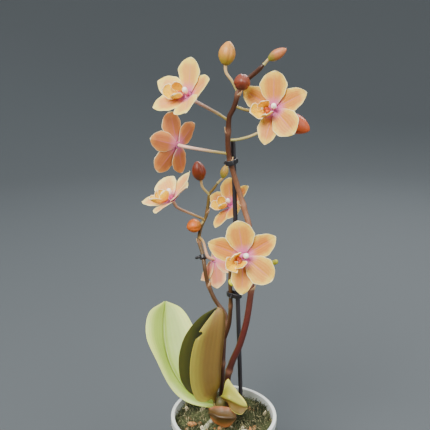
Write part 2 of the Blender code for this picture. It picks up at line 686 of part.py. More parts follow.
def stalk_radii(route, swelling):
    last = len(route) - 1
    return [STALK_RADIUS * (1 + (swelling - 1) * (i / last) ** 2) for i in range(last + 1)]


def make_bud(name, bud, finish, spikes):
    """A bud and its stalk, one tube whose radius swells into an egg."""
    stalk = smooth_route(off_the_spike(bud["stalk"], spikes[bud["spike"]]), 4 * MM)
    foot = stalk[-1]
    egg = [(0.08, 0.55), (0.25, 0.86), (0.45, 1.0), (0.68, 0.86), (0.86, 0.55), (0.97, 0.22)]
    route = stalk + [foot.lerp(bud["tip"], share) for share, _ in egg]
    radii = [STALK_RADIUS] * len(stalk) + [bud["radius"] * wide for _, wide in egg]
    return tube_object(name, route, radii, 8, finish)


def spike_line(places, foot, tip, on_crown=True):
    """A spike's route, from beside the crown, and its radius at each point."""
    if on_crown:
        places = [beside_crown(places[0], foot), *places[1:]]
    route = smooth_route(places, 6 * MM)
    last = len(route) - 1
    return route, [foot + (tip - foot) * i / last for i in range(last + 1)]


def spike_lines():
    return {
        "front": spike_line(FRONT_SPIKE_ROUTE, FRONT_SPIKE_FOOT_RADIUS, FRONT_SPIKE_TIP_RADIUS),
        "rear": spike_line(REAR_SPIKE_ROUTE, REAR_SPIKE_FOOT_RADIUS, REAR_SPIKE_TIP_RADIUS),
        "branch": spike_line(REAR_BRANCH_ROUTE, REAR_BRANCH_RADIUS, REAR_SPIKE_TIP_RADIUS,
                             on_crown=False),
    }


def make_spikes(spikes, finish, rear_finish):
    tube_object("flower_spike_front", *spikes["front"], SPIKE_SIDES, finish)
    rear = tube_object("flower_spike_rear", *spikes["rear"], SPIKE_SIDES, rear_finish)
    branch = tube_object("rear_branch", *spikes["branch"], SPIKE_SIDES, rear_finish)
    boolean(rear, branch, "UNION")


def at_height(line, height):
    """Where a rising line of (route, radii) crosses a height, its direction and its radius."""
    route, radii = line
    for i, (low, high) in enumerate(zip(route, route[1:])):
        if low.z <= height < high.z:
            share = (height - low.z) / (high.z - low.z)
            return low.lerp(high, share), (high - low).normalized(), max(radii[i], radii[i + 1])
    raise ValueError("the line doesn't reach that height")


def band(name, centres, radii, axis, finish):
    """A flat band round one stem or round two stems side by side."""
    axis = axis.normalized()
    if len(centres) == 1:
        centres, radii = centres * 2, radii * 2
        across = axis.orthogonal().normalized()
    else:
        across = centres[1] - centres[0]
        across = (across - axis * across.dot(axis)).normalized()
    side = axis.cross(across)
    bm = bmesh.new()
    stations = []
    half = 8
    for end, (centre, radius) in enumerate(zip(centres, radii)):
        start = math.pi / 2 if end == 0 else -math.pi / 2
        for k in range(half):
            angle = start + math.pi * (k + 0.5) / half
            out = across * math.cos(angle) + side * math.sin(angle)
            inner = centre + out * (radius + CLIP_CLEARANCE)
            outer = inner + out * CLIP_WALL
            lift = axis * CLIP_HEIGHT / 2
            stations.append([bm.verts.new(p) for p in
                             (inner - lift, outer - lift, outer + lift, inner + lift)])
    for i, low in enumerate(stations):
        high = stations[(i + 1) % len(stations)]
        for k in range(4):
            bm.faces.new((low[k], low[(k + 1) % 4], high[(k + 1) % 4], high[k]))
    return add_object(name, bm, finish)


def make_clips(spikes, black, yellow_green):
    foot, top = stake_ends()
    stake = ([foot, top], [STAKE_RADIUS, STAKE_RADIUS])
    for name, spike, height in (("clip_upper", "front", CLIP_UPPER_Z),
                                ("clip_lower", "branch", CLIP_LOWER_Z)):
        stem_at, stem_way, stem_radius = at_height(spikes[spike], height)
        stake_at, stake_way, stake_radius = at_height(stake, height)
        band(name, [stem_at, stake_at], [stem_radius, stake_radius], stem_way + stake_way, black)
    at, way, radius = at_height(spikes["rear"], CLIP_REAR_Z)
    rear = band("clip_rear", [at], [radius], way, black)
    side = at - Vector((radius + CLIP_CLEARANCE + CLIP_WALL / 2, 0, 0))
    tab = tube_object("rear_tab", [side, side + REAR_TAB_REACH], REAR_TAB_RADII, 8, black)
    boolean(rear, tab, "UNION")
    at, way, radius = at_height(spikes["front"], CLIP_GREEN_Z)
    green = band("clip_green", [at], [radius], way, yellow_green)
    back = at + Vector((0, radius + CLIP_CLEARANCE + CLIP_WALL, 0))
    arm = [back + place for place in GREEN_ARM]
    arm = tube_object("green_arm", arm, GREEN_ARM_RADII, 8, yellow_green)
    boolean(green, arm, "UNION")


def surface_under(x, y, reach):
    """The highest point of the medium within a reach of a place."""
    spots = [(x, y)] + [
        (x + reach * math.cos(a), y + reach * math.sin(a))
        for a in (math.tau * k / 8 for k in range(8))
    ]
    return max(medium_height(math.hypot(u, v), math.atan2(v, u)) for u, v in spots)


def on_medium(spot, radius, reach):
    """Where a round thing of a radius rests on the medium."""
    top = surface_under(spot.x, spot.y, reach)
    return Vector((spot.x, spot.y, top + radius + GAP))


def make_litter(finishes, root_finish):
    """Bark chips and a root that lie on the medium."""
    edge = pot_inner_radius(POT_HEIGHT - MEDIUM_DEPTH_BELOW_RIM)
    for name, chip in BARK_CHIPS.items():
        radius = chip["radius"]
        widest = max(wide for _, wide in CHIP_STATIONS) * radius
        longest = max(share for share, _ in CHIP_STATIONS) * radius
        middle = on_medium(Vector((*chip["at"], 0)) * edge, widest, longest)
        way = Vector((1, 0.35, 0.1)).normalized()
        route = [middle + way * radius * share for share, _ in CHIP_STATIONS]
        radii = [radius * wide for _, wide in CHIP_STATIONS]
        tube_object(name, route, radii, 7, finishes[name])
    crown = Vector((CROWN_X, CROWN_Y, 0))
    spots = [crown + SURFACE_ROOT_WAY * (CROWN_RADIUS + ROOT_RADIUS + GAP)]
    spots += [Vector((*spot, 0)) * edge for spot in SURFACE_ROOT_ROUTE]
    route = smooth_route([on_medium(spot, ROOT_RADIUS, 2 * ROOT_RADIUS) for spot in spots], 4 * MM)
    radii = [ROOT_RADIUS * (1 - 0.35 * i / (len(route) - 1)) for i in range(len(route))]
    tube_object("surface_root", route, radii, 8, root_finish)


def main():
    for old in list(bpy.data.objects):
        bpy.data.objects.remove(old)
    plastic = material("pot_plastic", (0.62, 0.66, 0.66), 0.45)
    cutters = material("cutter", (1, 0, 0), 0.5)
    moss = material("moss", (0.10, 0.12, 0.07), 0.95)
    green = material("leaf_green", (0.45, 0.52, 0.16), 0.45)
    olive = material("leaf_olive", (0.26, 0.17, 0.05), 0.45)
    spike = material("spike_bark", (0.20, 0.07, 0.05), 0.55)
    rear_spike = material("rear_spike_bark", (0.24, 0.15, 0.07), 0.55)
    black = material("black_plastic", (0.02, 0.02, 0.025), 0.4)
    yellow_green = material("yellow_green_plastic", (0.55, 0.58, 0.04), 0.4)
    bark = material("bark", (0.35, 0.20, 0.09), 0.9)
    pale_bark = material("pale_bark", (0.45, 0.42, 0.36), 0.9)
    root_green = material("root_green", (0.45, 0.46, 0.28), 0.7)
    finishes = {
        "sepal": material("sepal", (0.80, 0.46, 0.16), 0.5),
        "petal": material("petal", (0.82, 0.46, 0.18), 0.5),
        "lip": material("lip", (0.85, 0.50, 0.05), 0.4),
        "column": material("column", (0.85, 0.78, 0.68), 0.4),
        "stalk": material("stalk", (0.55, 0.45, 0.22), 0.5),
    }
    bud = material("bud", (0.62, 0.30, 0.14), 0.5)
    make_pot(plastic, cutters)
    make_medium(moss, cutters)
    make_crown(green)
    for name, edges in LEAVES.items():
        make_leaf(name, edges, green if name == "leaf_large" else olive)
    spikes = spike_lines()
    make_spikes(spikes, spike, rear_spike)
    make_stake(black)
    make_clips(spikes, black, yellow_green)
    make_litter({"bark_chip_tan": bark, "bark_chip_pale": pale_bark}, root_green)
    for name, flower in FLOWERS.items():
        make_flower(name, flower, finishes, spikes)
    for name, egg in BUDS.items():
        make_bud(name, egg, bud, spikes)


main()
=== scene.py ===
"""Potted orchid: the looks of a small two-spike moth orchid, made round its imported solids.

The pot stands on the XY plane with its centre on the Z axis, and the front flowers face -Y.
Lengths are metres, most of them written as millimetres times MM. Every piece is finer than the
solid that it stands for and lies in the same place. The sizes of the flowers are this script's
own: the lips are larger than their solids, and the sepals, petals and columns slightly so.
"""

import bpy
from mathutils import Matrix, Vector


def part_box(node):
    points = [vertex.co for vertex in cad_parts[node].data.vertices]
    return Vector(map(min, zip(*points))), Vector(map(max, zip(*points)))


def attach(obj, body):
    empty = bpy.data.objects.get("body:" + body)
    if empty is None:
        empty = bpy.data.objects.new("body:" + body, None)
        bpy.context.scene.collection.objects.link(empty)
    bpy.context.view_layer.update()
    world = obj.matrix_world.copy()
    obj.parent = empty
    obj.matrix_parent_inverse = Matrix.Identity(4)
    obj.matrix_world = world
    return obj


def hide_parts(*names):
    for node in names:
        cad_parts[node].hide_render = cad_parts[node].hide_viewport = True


bl_info = {
    "name": "Potted Orchid",
    "version": (1, 0, 0),
    "blender": (4, 5, 0),
    "location": "View3D > Sidebar > Orchid",
    "description": "Makes a potted moth orchid piece by piece, from its pot to its buds",
    "category": "Object",
}

import math
import random

import bmesh
import bpy
import numpy as np
from bpy.props import FloatProperty, FloatVectorProperty, IntProperty, PointerProperty
from mathutils import Euler, Vector, noise

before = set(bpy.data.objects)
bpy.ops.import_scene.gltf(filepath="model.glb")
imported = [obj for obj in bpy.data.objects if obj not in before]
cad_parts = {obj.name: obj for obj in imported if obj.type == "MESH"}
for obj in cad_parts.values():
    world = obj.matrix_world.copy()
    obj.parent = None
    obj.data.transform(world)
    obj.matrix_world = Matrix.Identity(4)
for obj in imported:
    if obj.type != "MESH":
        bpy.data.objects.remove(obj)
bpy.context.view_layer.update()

MM = 0.001
POT_LOW, POT_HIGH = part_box("pot")
MEDIUM_DEPTH = 7 * MM
MEDIUM_LEVEL = POT_HIGH.z - MEDIUM_DEPTH


def plant(x, y, z):
    """A place on the plant in millimetres, with its height above the medium's edge."""
    return Vector((x, y, z)) * MM + Vector((0, 0, MEDIUM_LEVEL))


def plants(*places):
    """Several places on the plant."""
    return [plant(*place) for place in places]


def mm(x, y, z):
    """A step in millimetres."""
    return Vector((x, y, z)) * MM


def srgb(red, green, blue):
    """A colour of 0 to 255 levels in linear light."""
    levels = (level / 255 for level in (red, green, blue))
    return tuple(
        level / 12.92 if level <= 0.04045 else ((level + 0.055) / 1.055) ** 2.4
        for level in levels
    )


# ---------------------------------------------------------------------------
# Places on the plant, from the foot up
# ---------------------------------------------------------------------------


FRONT_SPIKE_ROUTE = plants(
    (4, -4.2, 15), (3.4, -3.6, 22), (2, -3.4, 27.5), (2.6, -5, 38.5), (5.3, -7, 49.7),
    (9.6, -9, 62), (13.4, -10, 77.4), (15.5, -9, 91.5), (16.2, -8, 100), (16.1, -6, 114.3),
    (15.8, -3, 126), (14.6, 0, 138.3), (12.6, 2, 145), (9.9, 3, 154.3), (6.7, 2.5, 164.5),
    (4.3, 2, 172.5), (2.4, 1, 180.3), (1.7, 0, 188.5), (2, -1, 196.8), (2.4, -2, 203.2),
    (4.6, -3, 207.8), (6, -4, 212.2), (7.4, -4, 217.9), (8.8, -4, 221.9), (13.6, -6, 225.7),
    (17.7, -8, 229.2), (21, -10, 232.7))
REAR_SPIKE_ROUTE = plants(
    (-1.6, 6, 15), (-1.1, 6.8, 28.2), (-0.8, 8, 36.8), (0.3, 13, 55), (1.6, 17, 65.2),
    (1, 18.5, 70), (-1.1, 20, 73.2), (-3.8, 21.5, 76), (-6.8, 22.5, 80.8), (-9.6, 24.4, 87),
    (-11.4, 25.2, 92.6), (-12.7, 26.5, 100.4), (-13.9, 30.5, 107.6), (-16.2, 34.5, 114.7),
    (-16.4, 36, 120), (-14.6, 38, 126.5), (-11.8, 39, 132.5), (-10.5, 40, 140), (-9.5, 41, 147.2),
    (-7.1, 41, 150.3), (-4.1, 41, 154.6))
REAR_BRANCH_ROUTE = plants(
    (0.5, 12.8, 56), (3.4, 12, 66), (4.3, 10.2, 79), (4.2, 8.7, 90), (3.8, 8.8, 97),
    (4.1, 10.5, 108.5), (4.8, 14, 118.5), (5.8, 20, 127), (6.8, 26, 133))
STAKE_TOP = plant(4.8, 6.3, 190)
STAKE_AT_MEDIUM = plant(11.5, 6, 15)

# Leaves: edge, midrib, other edge. Each row is a smooth curve through its places.
LEAVES = {
    "leaf_large": {
        "left": plants(
            (-7.5, 3.5, 9), (-22.5, 7, 9.5), (-34.5, 13, 16), (-46, 24, 31), (-54.5, 38, 44),
            (-53.5, 49, 57), (-43, 55.5, 63)),
        "rib": plants(
            (-6.5, 5, 11), (-19.5, 11, 12.5), (-31, 19, 20), (-39, 30, 29.5), (-42.5, 41, 41),
            (-43, 50, 52), (-42.2, 56, 62.5)),
        "right": plants(
            (-5.2, 7.5, 13), (-12, 12, 19), (-17, 21, 29), (-18, 32, 39.5), (-21.5, 42.5, 49.5),
            (-30, 51.5, 59), (-41.6, 56, 63)),
    },
    "leaf_upright": {
        "left": plants(
            (-6.5, -3.4, 17), (-7.6, -5, 20.5), (-9.5, -7.8, 22.5), (-13, -12, 23.5),
            (-17.5, -16, 27.5), (-21, -19.5, 41.5), (-21, -21.5, 58.5), (-17.5, -21.5, 72.5),
            (-12, -18, 81), (-5, -12.5, 88.5)),
        "rib": plants(
            (-6.4, -1.8, 17), (-5.8, -2.8, 22), (-5.4, -4.2, 26), (-4.5, -6, 29.5),
            (-3.5, -8, 35.5), (-3, -10.5, 46), (-2, -12.5, 60.5), (-0.5, -13.5, 77.5),
            (-1, -13, 86), (-4.5, -12, 89)),
        "right": plants(
            (-6.3, 0, 17), (-8, -0.6, 19.5), (-10.5, -0.8, 20), (-14.5, -1, 20.5),
            (-22, -1, 22.5), (-28, -0.5, 32), (-29, 0, 48), (-25, -2, 64.5), (-15.5, -7.5, 80),
            (-5, -11.5, 89)),
    },
    "leaf_small_right": {
        "left": plants(
            (-1, -5, 23), (0.5, -6.5, 31.5), (2.5, -8, 37.5), (5.5, -8.5, 33.5), (9, -9, 28.5),
            (12.5, -11, 25), (14.5, -12.5, 21.5)),
        "rib": plants(
            (-1, -6, 22.5), (0.5, -9.5, 25), (3, -12, 25.5), (6, -13, 24.5), (9, -13.5, 23),
            (12, -13.5, 21.5), (15, -13, 20.5)),
        "right": plants(
            (-0.5, -6.5, 21), (1.5, -10, 22), (3.5, -13, 20.5), (6.5, -15.5, 18), (10, -16.5, 17),
            (12.5, -15.5, 18), (14.5, -14, 20)),
    },
    "leaf_small_front": {
        "left": plants(
            (-6.5, -6, 14.5), (-9.5, -9, 16.5), (-6.5, -10, 19), (-3, -11, 19.5), (0.5, -12, 20),
            (4, -13, 19.5), (7.5, -14, 15)),
        "rib": plants(
            (-6.5, -6.5, 12), (-9.5, -10.5, 14.5), (-7, -14, 16), (-3.5, -17, 16), (0.5, -18, 16),
            (4.5, -17.5, 15.5), (8, -15, 14)),
        "right": plants(
            (-6, -6.5, 10), (-9, -9, 12), (-7.5, -12, 10), (-4, -15, 8.5), (0.5, -16.5, 8),
            (4.5, -16.5, 9.5), (7.5, -15, 12.5)),
    },
}

# Buds: the stalk's places, the bud's tip and its largest radius.
BUDS = {
    "bud_top": dict(
        stalk=plants((7.1, -4, 217), (4, -4, 223), (0.5, -4, 228), (0, -4, 232)),
        tip=plant(2, -4, 245), radius=4.7 * MM),
    "bud_end_on": dict(
        stalk=[plant(9.2, -4.2, 222), plant(9.1, -7.5, 222.6)],
        tip=plant(9, -17.5, 224), radius=4.5 * MM),
    "bud_spike_end": dict(
        stalk=[plant(21, -10, 232.7), plant(23.3, -11, 235.3)],
        tip=plant(32.5, -15, 241), radius=2.8 * MM),
    "bud_opening": dict(
        stalk=plants(
            (1.9, 0.5, 189.5), (8, 0, 190), (17, 1, 192.5), (26, 3, 197.5), (33, 4.5, 202)),
        tip=plant(49.5, 2, 195), radius=5.6 * MM),
    "bud_rear_orange": dict(
        stalk=[plant(-13.8, 38.3, 128.5), plant(-15.5, 36, 127.5)],
        tip=plant(-24.5, 32, 126.5), radius=4.7 * MM),
    "bud_rear_upper": dict(
        stalk=plants((-9.8, 41, 147), (-14, 40, 152), (-15.2, 39, 157)),
        tip=plant(-17.6, 38, 170), radius=4.6 * MM),
    "bud_rear_tip": dict(
        stalk=[plant(-4.1, 41, 154.6), plant(-0.8, 41, 158)],
        tip=plant(1.8, 41, 167), radius=2.6 * MM),
}


# Flowers: the hub, the way the face points, the way the dorsal sepal points, size, tilt of the
# lobes at their foot and tip in degrees, the angles of the two lateral sepals, the stalk's first
# places, how warm each lobe is (dorsal, the two petals, the two laterals) and the palette.
FLOWERS = {
    "flower_top_left": dict(
        at=plant(-20.5, -3, 215), face=(-0.55, -0.66, 0.51), dorsal=(0.84, -0.47, 0.28),
        size=0.97, cup=(32, 20), laterals=(238, 290), spike="front",
        stalk=[plant(2.2, -1.5, 201), plant(-5, -1, 205.5)],
        warmth=(0.9, 0.05, 0.25, 0.1, 0.7), palette="pale"),
    "flower_top_right": dict(
        at=plant(27.5, -9, 208.5), face=(-0.4, -0.88, 0.24), dorsal=(0.85, -0.3, 0.43),
        size=0.95, cup=(20, 3), laterals=(217, 327), spike="front",
        stalk=[plant(5.2, -3.4, 209.5), plant(14, -3, 207)],
        warmth=(0.3, 0.15, 0.2, 0.25, 0.35), palette="peach"),
    "flower_front": dict(
        at=plant(10.8, -19, 124.6), face=(-0.06, -0.97, 0.24), dorsal=(0.85, 0.1, 0.52),
        size=1.0, cup=(20, 2), laterals=(217, 325), spike="front",
        stalk=[plant(15.4, -1, 132), plant(13, -7, 132)],
        warmth=(0.55, 0.0, 0.15, 0.4, 0.25), palette="peach"),
    "flower_left_back": dict(
        at=plant(-27.5, 4, 186), face=(-0.74, 0.67, 0.06), dorsal=(-0.64, -0.72, 0.27),
        size=0.91, cup=(16, 5), laterals=(222, 324), spike="front",
        stalk=[plant(2.2, 1, 181.3), plant(-10, -1, 183.5)],
        warmth=(0.5, 0.6, 0.4, 0.7, 0.5), palette="peach"),
    "flower_rear_left": dict(
        at=plant(-34, 38, 143.3), face=(-0.52, -0.23, 0.82), dorsal=(0.71, 0.43, 0.56),
        size=1.03, cup=(28, 12), laterals=(219, 308), spike="rear",
        stalk=[plant(-12.6, 38.6, 130), plant(-21, 38, 134)],
        warmth=(0.3, 0.2, 0.1, 0.2, 0.1), palette="cream"),
    "flower_rear_centre": dict(
        at=plant(5.2, 26.8, 142.7), face=(-0.65, -0.48, 0.59), dorsal=(0.74, -0.24, 0.63),
        size=0.86, cup=(26, 10), laterals=(217, 318), spike="branch",
        stalk=[plant(7, 27, 134.5), plant(7.6, 29, 137)],
        warmth=(0.7, 0.3, 0.2, 0.3, 0.2), palette="peach"),
    "flower_rear_low": dict(
        at=plant(-6.2, 28.8, 105), face=(0.7, 0.45, -0.55), dorsal=(0.6, -0.79, 0.12),
        size=0.88, cup=(24, 8), laterals=(217, 325), spike="rear", shaded=True,
        stalk=[plant(-16.4, 35.7, 118.5), plant(-13.5, 30, 117)],
        warmth=(0.2, 0.2, 0.3, 0.1, 0.2), palette="cream"),
}
MOSS_LAYERS = 3  # the strands are split so that no piece grows too heavy
TEPAL_LAYER = 1.2 * MM
PETAL_ANGLES = (21, 156)
HUB_RADIUS = 1.8 * MM
HUB_NECK = 1.15 * MM

BUD_COLOURS = {
    "bud_top": ((160, 138, 40), (196, 130, 50)),
    "bud_end_on": ((146, 76, 34), (118, 50, 30)),
    "bud_spike_end": ((130, 132, 40), (188, 112, 66)),
    "bud_opening": ((196, 104, 40), (206, 90, 36)),
    "bud_rear_orange": ((186, 116, 26), (196, 98, 24)),
    "bud_rear_upper": ((118, 60, 22), (122, 46, 18)),
    "bud_rear_tip": ((158, 154, 54), (188, 148, 64)),
}

# Shares of each spike's length at which it has a node.
SPIKE_NODES = {
    "front": (0.12, 0.375, 0.6, 0.72, 0.8, 0.9),
    "rear": (0.16, 0.33, 0.52, 0.72, 0.86),
    "branch": (0.3, 0.62),
}


# ---------------------------------------------------------------------------
# Sizes and colours a user would change
# ---------------------------------------------------------------------------

def length(name, default, description):
    """A length that a user may change."""
    return FloatProperty(name=name, description=description, default=default, min=0,
                         unit="LENGTH", precision=4)


def colour(name, levels, description):
    """A colour that a user may change, from levels of 0 to 255."""
    return FloatVectorProperty(name=name, description=description, default=srgb(*levels),
                               subtype="COLOR", size=3, min=0, max=1)


class OrchidPotSettings(bpy.types.PropertyGroup):
    rim_radius: length("Rim radius", POT_HIGH.x, "Outer radius of the pot's rim")
    height: length("Height", POT_HIGH.z, "Height of the pot")
    foot_radius: length("Foot radius", 29.5 * MM, "Outer radius of the pot's foot")
    wall: length("Wall", 1.4 * MM, "Thickness of the pot's wall")
    floor: length("Floor", 2 * MM, "Thickness of the pot's floor")
    rim_height: length("Rim height", 5 * MM, "Height of the rolled rim")
    rim_step: length("Rim step", 1 * MM, "How far the rim stands out from the wall")
    drain_radius: length("Drain radius", 3 * MM, "Radius of one drain hole")
    drain_circle: length("Drain circle", 19 * MM, "Radius of the circle of drain holes")
    drains: IntProperty(name="Drains", description="How many drain holes", default=6, min=0)
    sides: IntProperty(name="Sides", description="Facets round the pot", default=144, min=12)
    plastic: colour("Plastic", (206, 210, 204), "Colour of the pot")


class OrchidMediumSettings(bpy.types.PropertyGroup):
    dome: length("Dome", 2.5 * MM, "How far the middle stands above the edge")
    strands: FloatProperty(name="Strands", description="Moss strands for each square metre",
                           default=2.3e6, min=0)
    strand_length: length("Strand length", 4.6 * MM, "Length of one moss strand")
    # Painted shade: the near-black olive of the upright leaf's inner side stands for its shadow.
    grains: FloatProperty(name="Grains", description="Bark grains for each square metre",
                          default=6.0e4, min=0)
    chips: IntProperty(name="Chips", description="How many larger bark pieces", default=46, min=0)
    seed: IntProperty(name="Seed", description="Seed of the scatter", default=4, min=0)
    moss: colour("Moss", (118, 126, 84), "Colour of the moss in light")
    shade: colour("Shade", (62, 68, 46), "Colour of the moss in shade")
    dry: colour("Dry moss", (196, 184, 138), "Colour of the dry strands")


class OrchidStemSettings(bpy.types.PropertyGroup):
    front_foot: length("Front spike foot", 2.2 * MM, "Radius of the front spike at its foot")
    front_tip: length("Front spike tip", 1.3 * MM, "Radius of the front spike at its tip")
    rear_foot: length("Rear spike foot", 1.8 * MM, "Radius of the rear spike at its foot")
    branch_foot: length("Branch foot", 1.5 * MM, "Radius of the rear branch at its foot")
    rear_tip: length("Rear spike tip", 0.9 * MM, "Radius of the rear spike at its tip")
    stalk: length("Stalk", 0.8 * MM, "Radius of a flower's stalk")
    stake: length("Stake", 1.4 * MM, "Radius of the stake")
    node_swell: FloatProperty(name="Node swelling", default=0.22, min=0, max=1,
                              description="How much a spike swells at a node")
    sides: IntProperty(name="Sides", description="Facets round a stem", default=20, min=6)


class OrchidLeafSettings(bpy.types.PropertyGroup):
    thickness: length("Thickness", 1.5 * MM, "Thickness of a leaf at its midrib")
    swell: length("Swell", 0.7 * MM, "How far each half of a leaf bulges")
    green: colour("Green", (148, 174, 58), "Upper side of the large leaf")
    pale: colour("Pale green", (200, 214, 108), "Rim of the large leaf")
    # The upright leaf's near-black inner side is painted shade where that side faces into the
    # plant.
    olive_painted_shade: colour("Olive", (16, 17, 1), "Inner side of the upright leaf")
    brown: colour("Brown", (128, 100, 42), "Outer side of the upright leaf")


class OrchidFlowerSettings(bpy.types.PropertyGroup):
    sepal_length: length("Sepal length", 20.6 * MM, "Length of a sepal at size 1")
    sepal_width: length("Sepal width", 13 * MM, "Width of a sepal at size 1")
    petal_length: length("Petal length", 20 * MM, "Length of a petal at size 1")
    petal_width: length("Petal width", 16.5 * MM, "Width of a petal at size 1")
    thickness: length("Thickness", 0.55 * MM, "Thickness of a petal in the middle")
    ruffle: length("Ruffle", 0.45 * MM, "How far the margins wave")
    lip_length: length("Lip length", 11 * MM, "Length of the lip's middle lobe")
    lip_width: length("Lip width", 10.5 * MM, "Width of the lip's middle lobe")
    side_length: length("Side lobe length", 9 * MM, "Length of the lip's side lobes")
    side_width: length("Side lobe width", 8 * MM, "Width of the lip's side lobes")
    column_length: length("Column length", 6.5 * MM, "Length of the column")
    column_radius: length("Column radius", 1.6 * MM, "Radius of the column")
    lip: colour("Lip", (246, 196, 4), "Colour of the lip")
    throat: colour("Throat", (196, 88, 66), "Colour inside the lip")
    column: colour("Column", (255, 250, 240), "Colour of the column's cap")
    flush: colour("Flush", (214, 104, 172), "Colour round the column")


class OrchidStageSettings(bpy.types.PropertyGroup):
    floor_size: length("Floor", 4.4, "Width of the floor and the wall it turns into")
    floor: colour("Floor colour", (78, 83, 86), "Colour of the floor")
    backdrop: colour("Backdrop", (200, 203, 205), "Colour behind the floor")
    light: FloatProperty(name="Light", description="Strength of all the lamps", default=1.0, min=0)


PALETTES = {
    # centre, margin, warm, reverse, reverse margin
    "peach": ((208, 146, 58), (236, 200, 74), (200, 112, 42), (206, 118, 62), (230, 150, 70)),
    "pale": ((226, 176, 86), (250, 224, 92), (222, 150, 74), (212, 126, 66), (232, 168, 90)),
    "cream": ((238, 182, 100), (254, 230, 132), (228, 138, 66), (214, 132, 96), (240, 194, 130)),
}
# Colour of the thin painted highlight along each petal's rim.
RIM_PAINTED_HIGHLIGHT = (252, 244, 196)


# ---------------------------------------------------------------------------
# Node trees
# ---------------------------------------------------------------------------

class NodeTree:
    """A node tree whose nodes are made in one call."""

    def __init__(self, tree):
        self.tree = tree

    def node(self, kind, settings=None, inputs=None):
        """A node of a type: its settings are set first, then its sockets' values or links."""
        made = self.tree.nodes.new(kind)
        for key, value in (settings or {}).items():
            setattr(made, key, value)
        for key, value in (inputs or {}).items():
            self.feed(made.inputs[key], value)
        return made

    def feed(self, socket, value):
        if isinstance(value, Sum):
            value = value.socket
        if isinstance(value, bpy.types.NodeSocket):
            self.tree.links.new(value, socket)
        else:
            socket.default_value = value


class Sum:
    """A number in a shader. Using an operator on it adds the Math node for it."""

    def __init__(self, paint, socket):
        self.paint = paint
        self.socket = socket

    def __add__(self, other):
        return self.paint.maths("ADD", self, other)

    def __sub__(self, other):
        return self.paint.maths("SUBTRACT", self, other)

    def __rsub__(self, other):
        return self.paint.maths("SUBTRACT", other, self)

    def __mul__(self, other):
        return self.paint.maths("MULTIPLY", self, other)

    __radd__ = __add__
    __rmul__ = __mul__


class Paint(NodeTree):
    """A material, written as sums of what varies over the surface."""

    def __init__(self, name, plain=None):
        self.material = bpy.data.materials.new(name)
        self.material.use_nodes = True
        super().__init__(self.material.node_tree)
        self.shader = self.tree.nodes["Principled BSDF"]
        for key, value in (plain or {}).items():
            self.shader.inputs[key].default_value = value

    def maths(self, operation, first, second=0.0):
        made = self.node("ShaderNodeMath", {"operation": operation}, {0: first, 1: second})
        return Sum(self, made.outputs[0])

    def read(self, name):
        """A number stored on the mesh's points."""
        made = self.node("ShaderNodeAttribute", {"attribute_name": name})
        return Sum(self, made.outputs["Fac"])

    def place(self, stretch=(1, 1, 1)):
        """The place on the piece, stretched along each axis."""
        spot = self.node("ShaderNodeTexCoord").outputs["Object"]
        return self.node("ShaderNodeMapping", inputs={"Vector": spot, "Scale": stretch}).outputs[0]

    def height(self):
        """The height of a place."""
        spot = self.node("ShaderNodeTexCoord").outputs["Object"]
        return Sum(self, self.node("ShaderNodeSeparateXYZ", inputs={0: spot}).outputs["Z"])

    def noise(self, scale, detail=3.0, roughness=0.55, stretch=(1, 1, 1)):
        made = self.node("ShaderNodeTexNoise", inputs={
            "Vector": self.place(stretch), "Scale": scale, "Detail": detail,
            "Roughness": roughness})
        return Sum(self, made.outputs[0])

    def cells(self, scale):
        """How far a place is from the nearest of scattered points."""
        made = self.node("ShaderNodeTexVoronoi", {"feature": "F1"}, {
            "Vector": self.place(), "Scale": scale})
        return Sum(self, made.outputs["Distance"])

    def smooth(self, value, low, high):
        """0 below low and 1 above high, with a smooth step between."""
        made = self.node("ShaderNodeMapRange", {"interpolation_type": "SMOOTHSTEP"}, {
            "Value": value, "From Min": low, "From Max": high})
        return Sum(self, made.outputs[0])

    def mix(self, share, first, second):
        """One colour turning into another. A colour is a triple or a link."""
        ends = [(*end, 1) if isinstance(end, tuple) else end for end in (first, second)]
        made = self.node("ShaderNodeMix", {"data_type": "RGBA", "blend_type": "MIX"}, {
            0: share, 6: ends[0], 7: ends[1]})
        return made.outputs[2]

    def skin(self, colour=None, roughness=None, relief=None, depth=0.1 * MM):
        """Feeds what varies to the shader. Relief is a height from 0 to 1, depth in metres."""
        if colour is not None:
            self.feed(self.shader.inputs["Base Color"], colour)
        if roughness is not None:
            self.feed(self.shader.inputs["Roughness"], roughness)
        if relief is not None:
            bump = self.node("ShaderNodeBump", inputs={
                "Height": relief, "Distance": depth, "Strength": 1.0})
            self.feed(self.shader.inputs["Normal"], bump.outputs[0])
        return self.material


class Growth(NodeTree):
    """A Geometry Nodes tree that takes one mesh and its sizes, and gives a plain mesh."""

    def __init__(self, name):
        super().__init__(bpy.data.node_groups.new(name, "GeometryNodeTree"))
        for end in ("INPUT", "OUTPUT"):
            self.tree.interface.new_socket(
                "Geometry", in_out=end, socket_type="NodeSocketGeometry")
        self.source = self.tree.nodes.new("NodeGroupInput")

    def size(self, name, kind="NodeSocketFloat"):
        """A named input of the tree."""
        self.tree.interface.new_socket(name, in_out="INPUT", socket_type=kind)
        return self.source.outputs[name]

    def between(self, kind, low, high, seed):
        """A random number or triple for each copy."""
        ends = {2: low, 3: high} if kind == "FLOAT" else {0: low, 1: high}
        return self.node("FunctionNodeRandomValue", {"data_type": kind}, {**ends, "Seed": seed})

    def end(self, geometry, finish):
        """Realises the copies, gives them their finish and ends the tree."""
        real = self.node("GeometryNodeRealizeInstances", inputs={"Geometry": geometry})
        coated = self.node("GeometryNodeSetMaterial", inputs={
            "Geometry": real.outputs[0], "Material": finish})
        result = self.tree.nodes.new("NodeGroupOutput")
        self.tree.links.new(coated.outputs[0], result.inputs[0])
        return self


def linked(name, data):
    """A new object in the scene."""
    made = bpy.data.objects.new(name, data)
    bpy.context.scene.collection.objects.link(made)
    return made


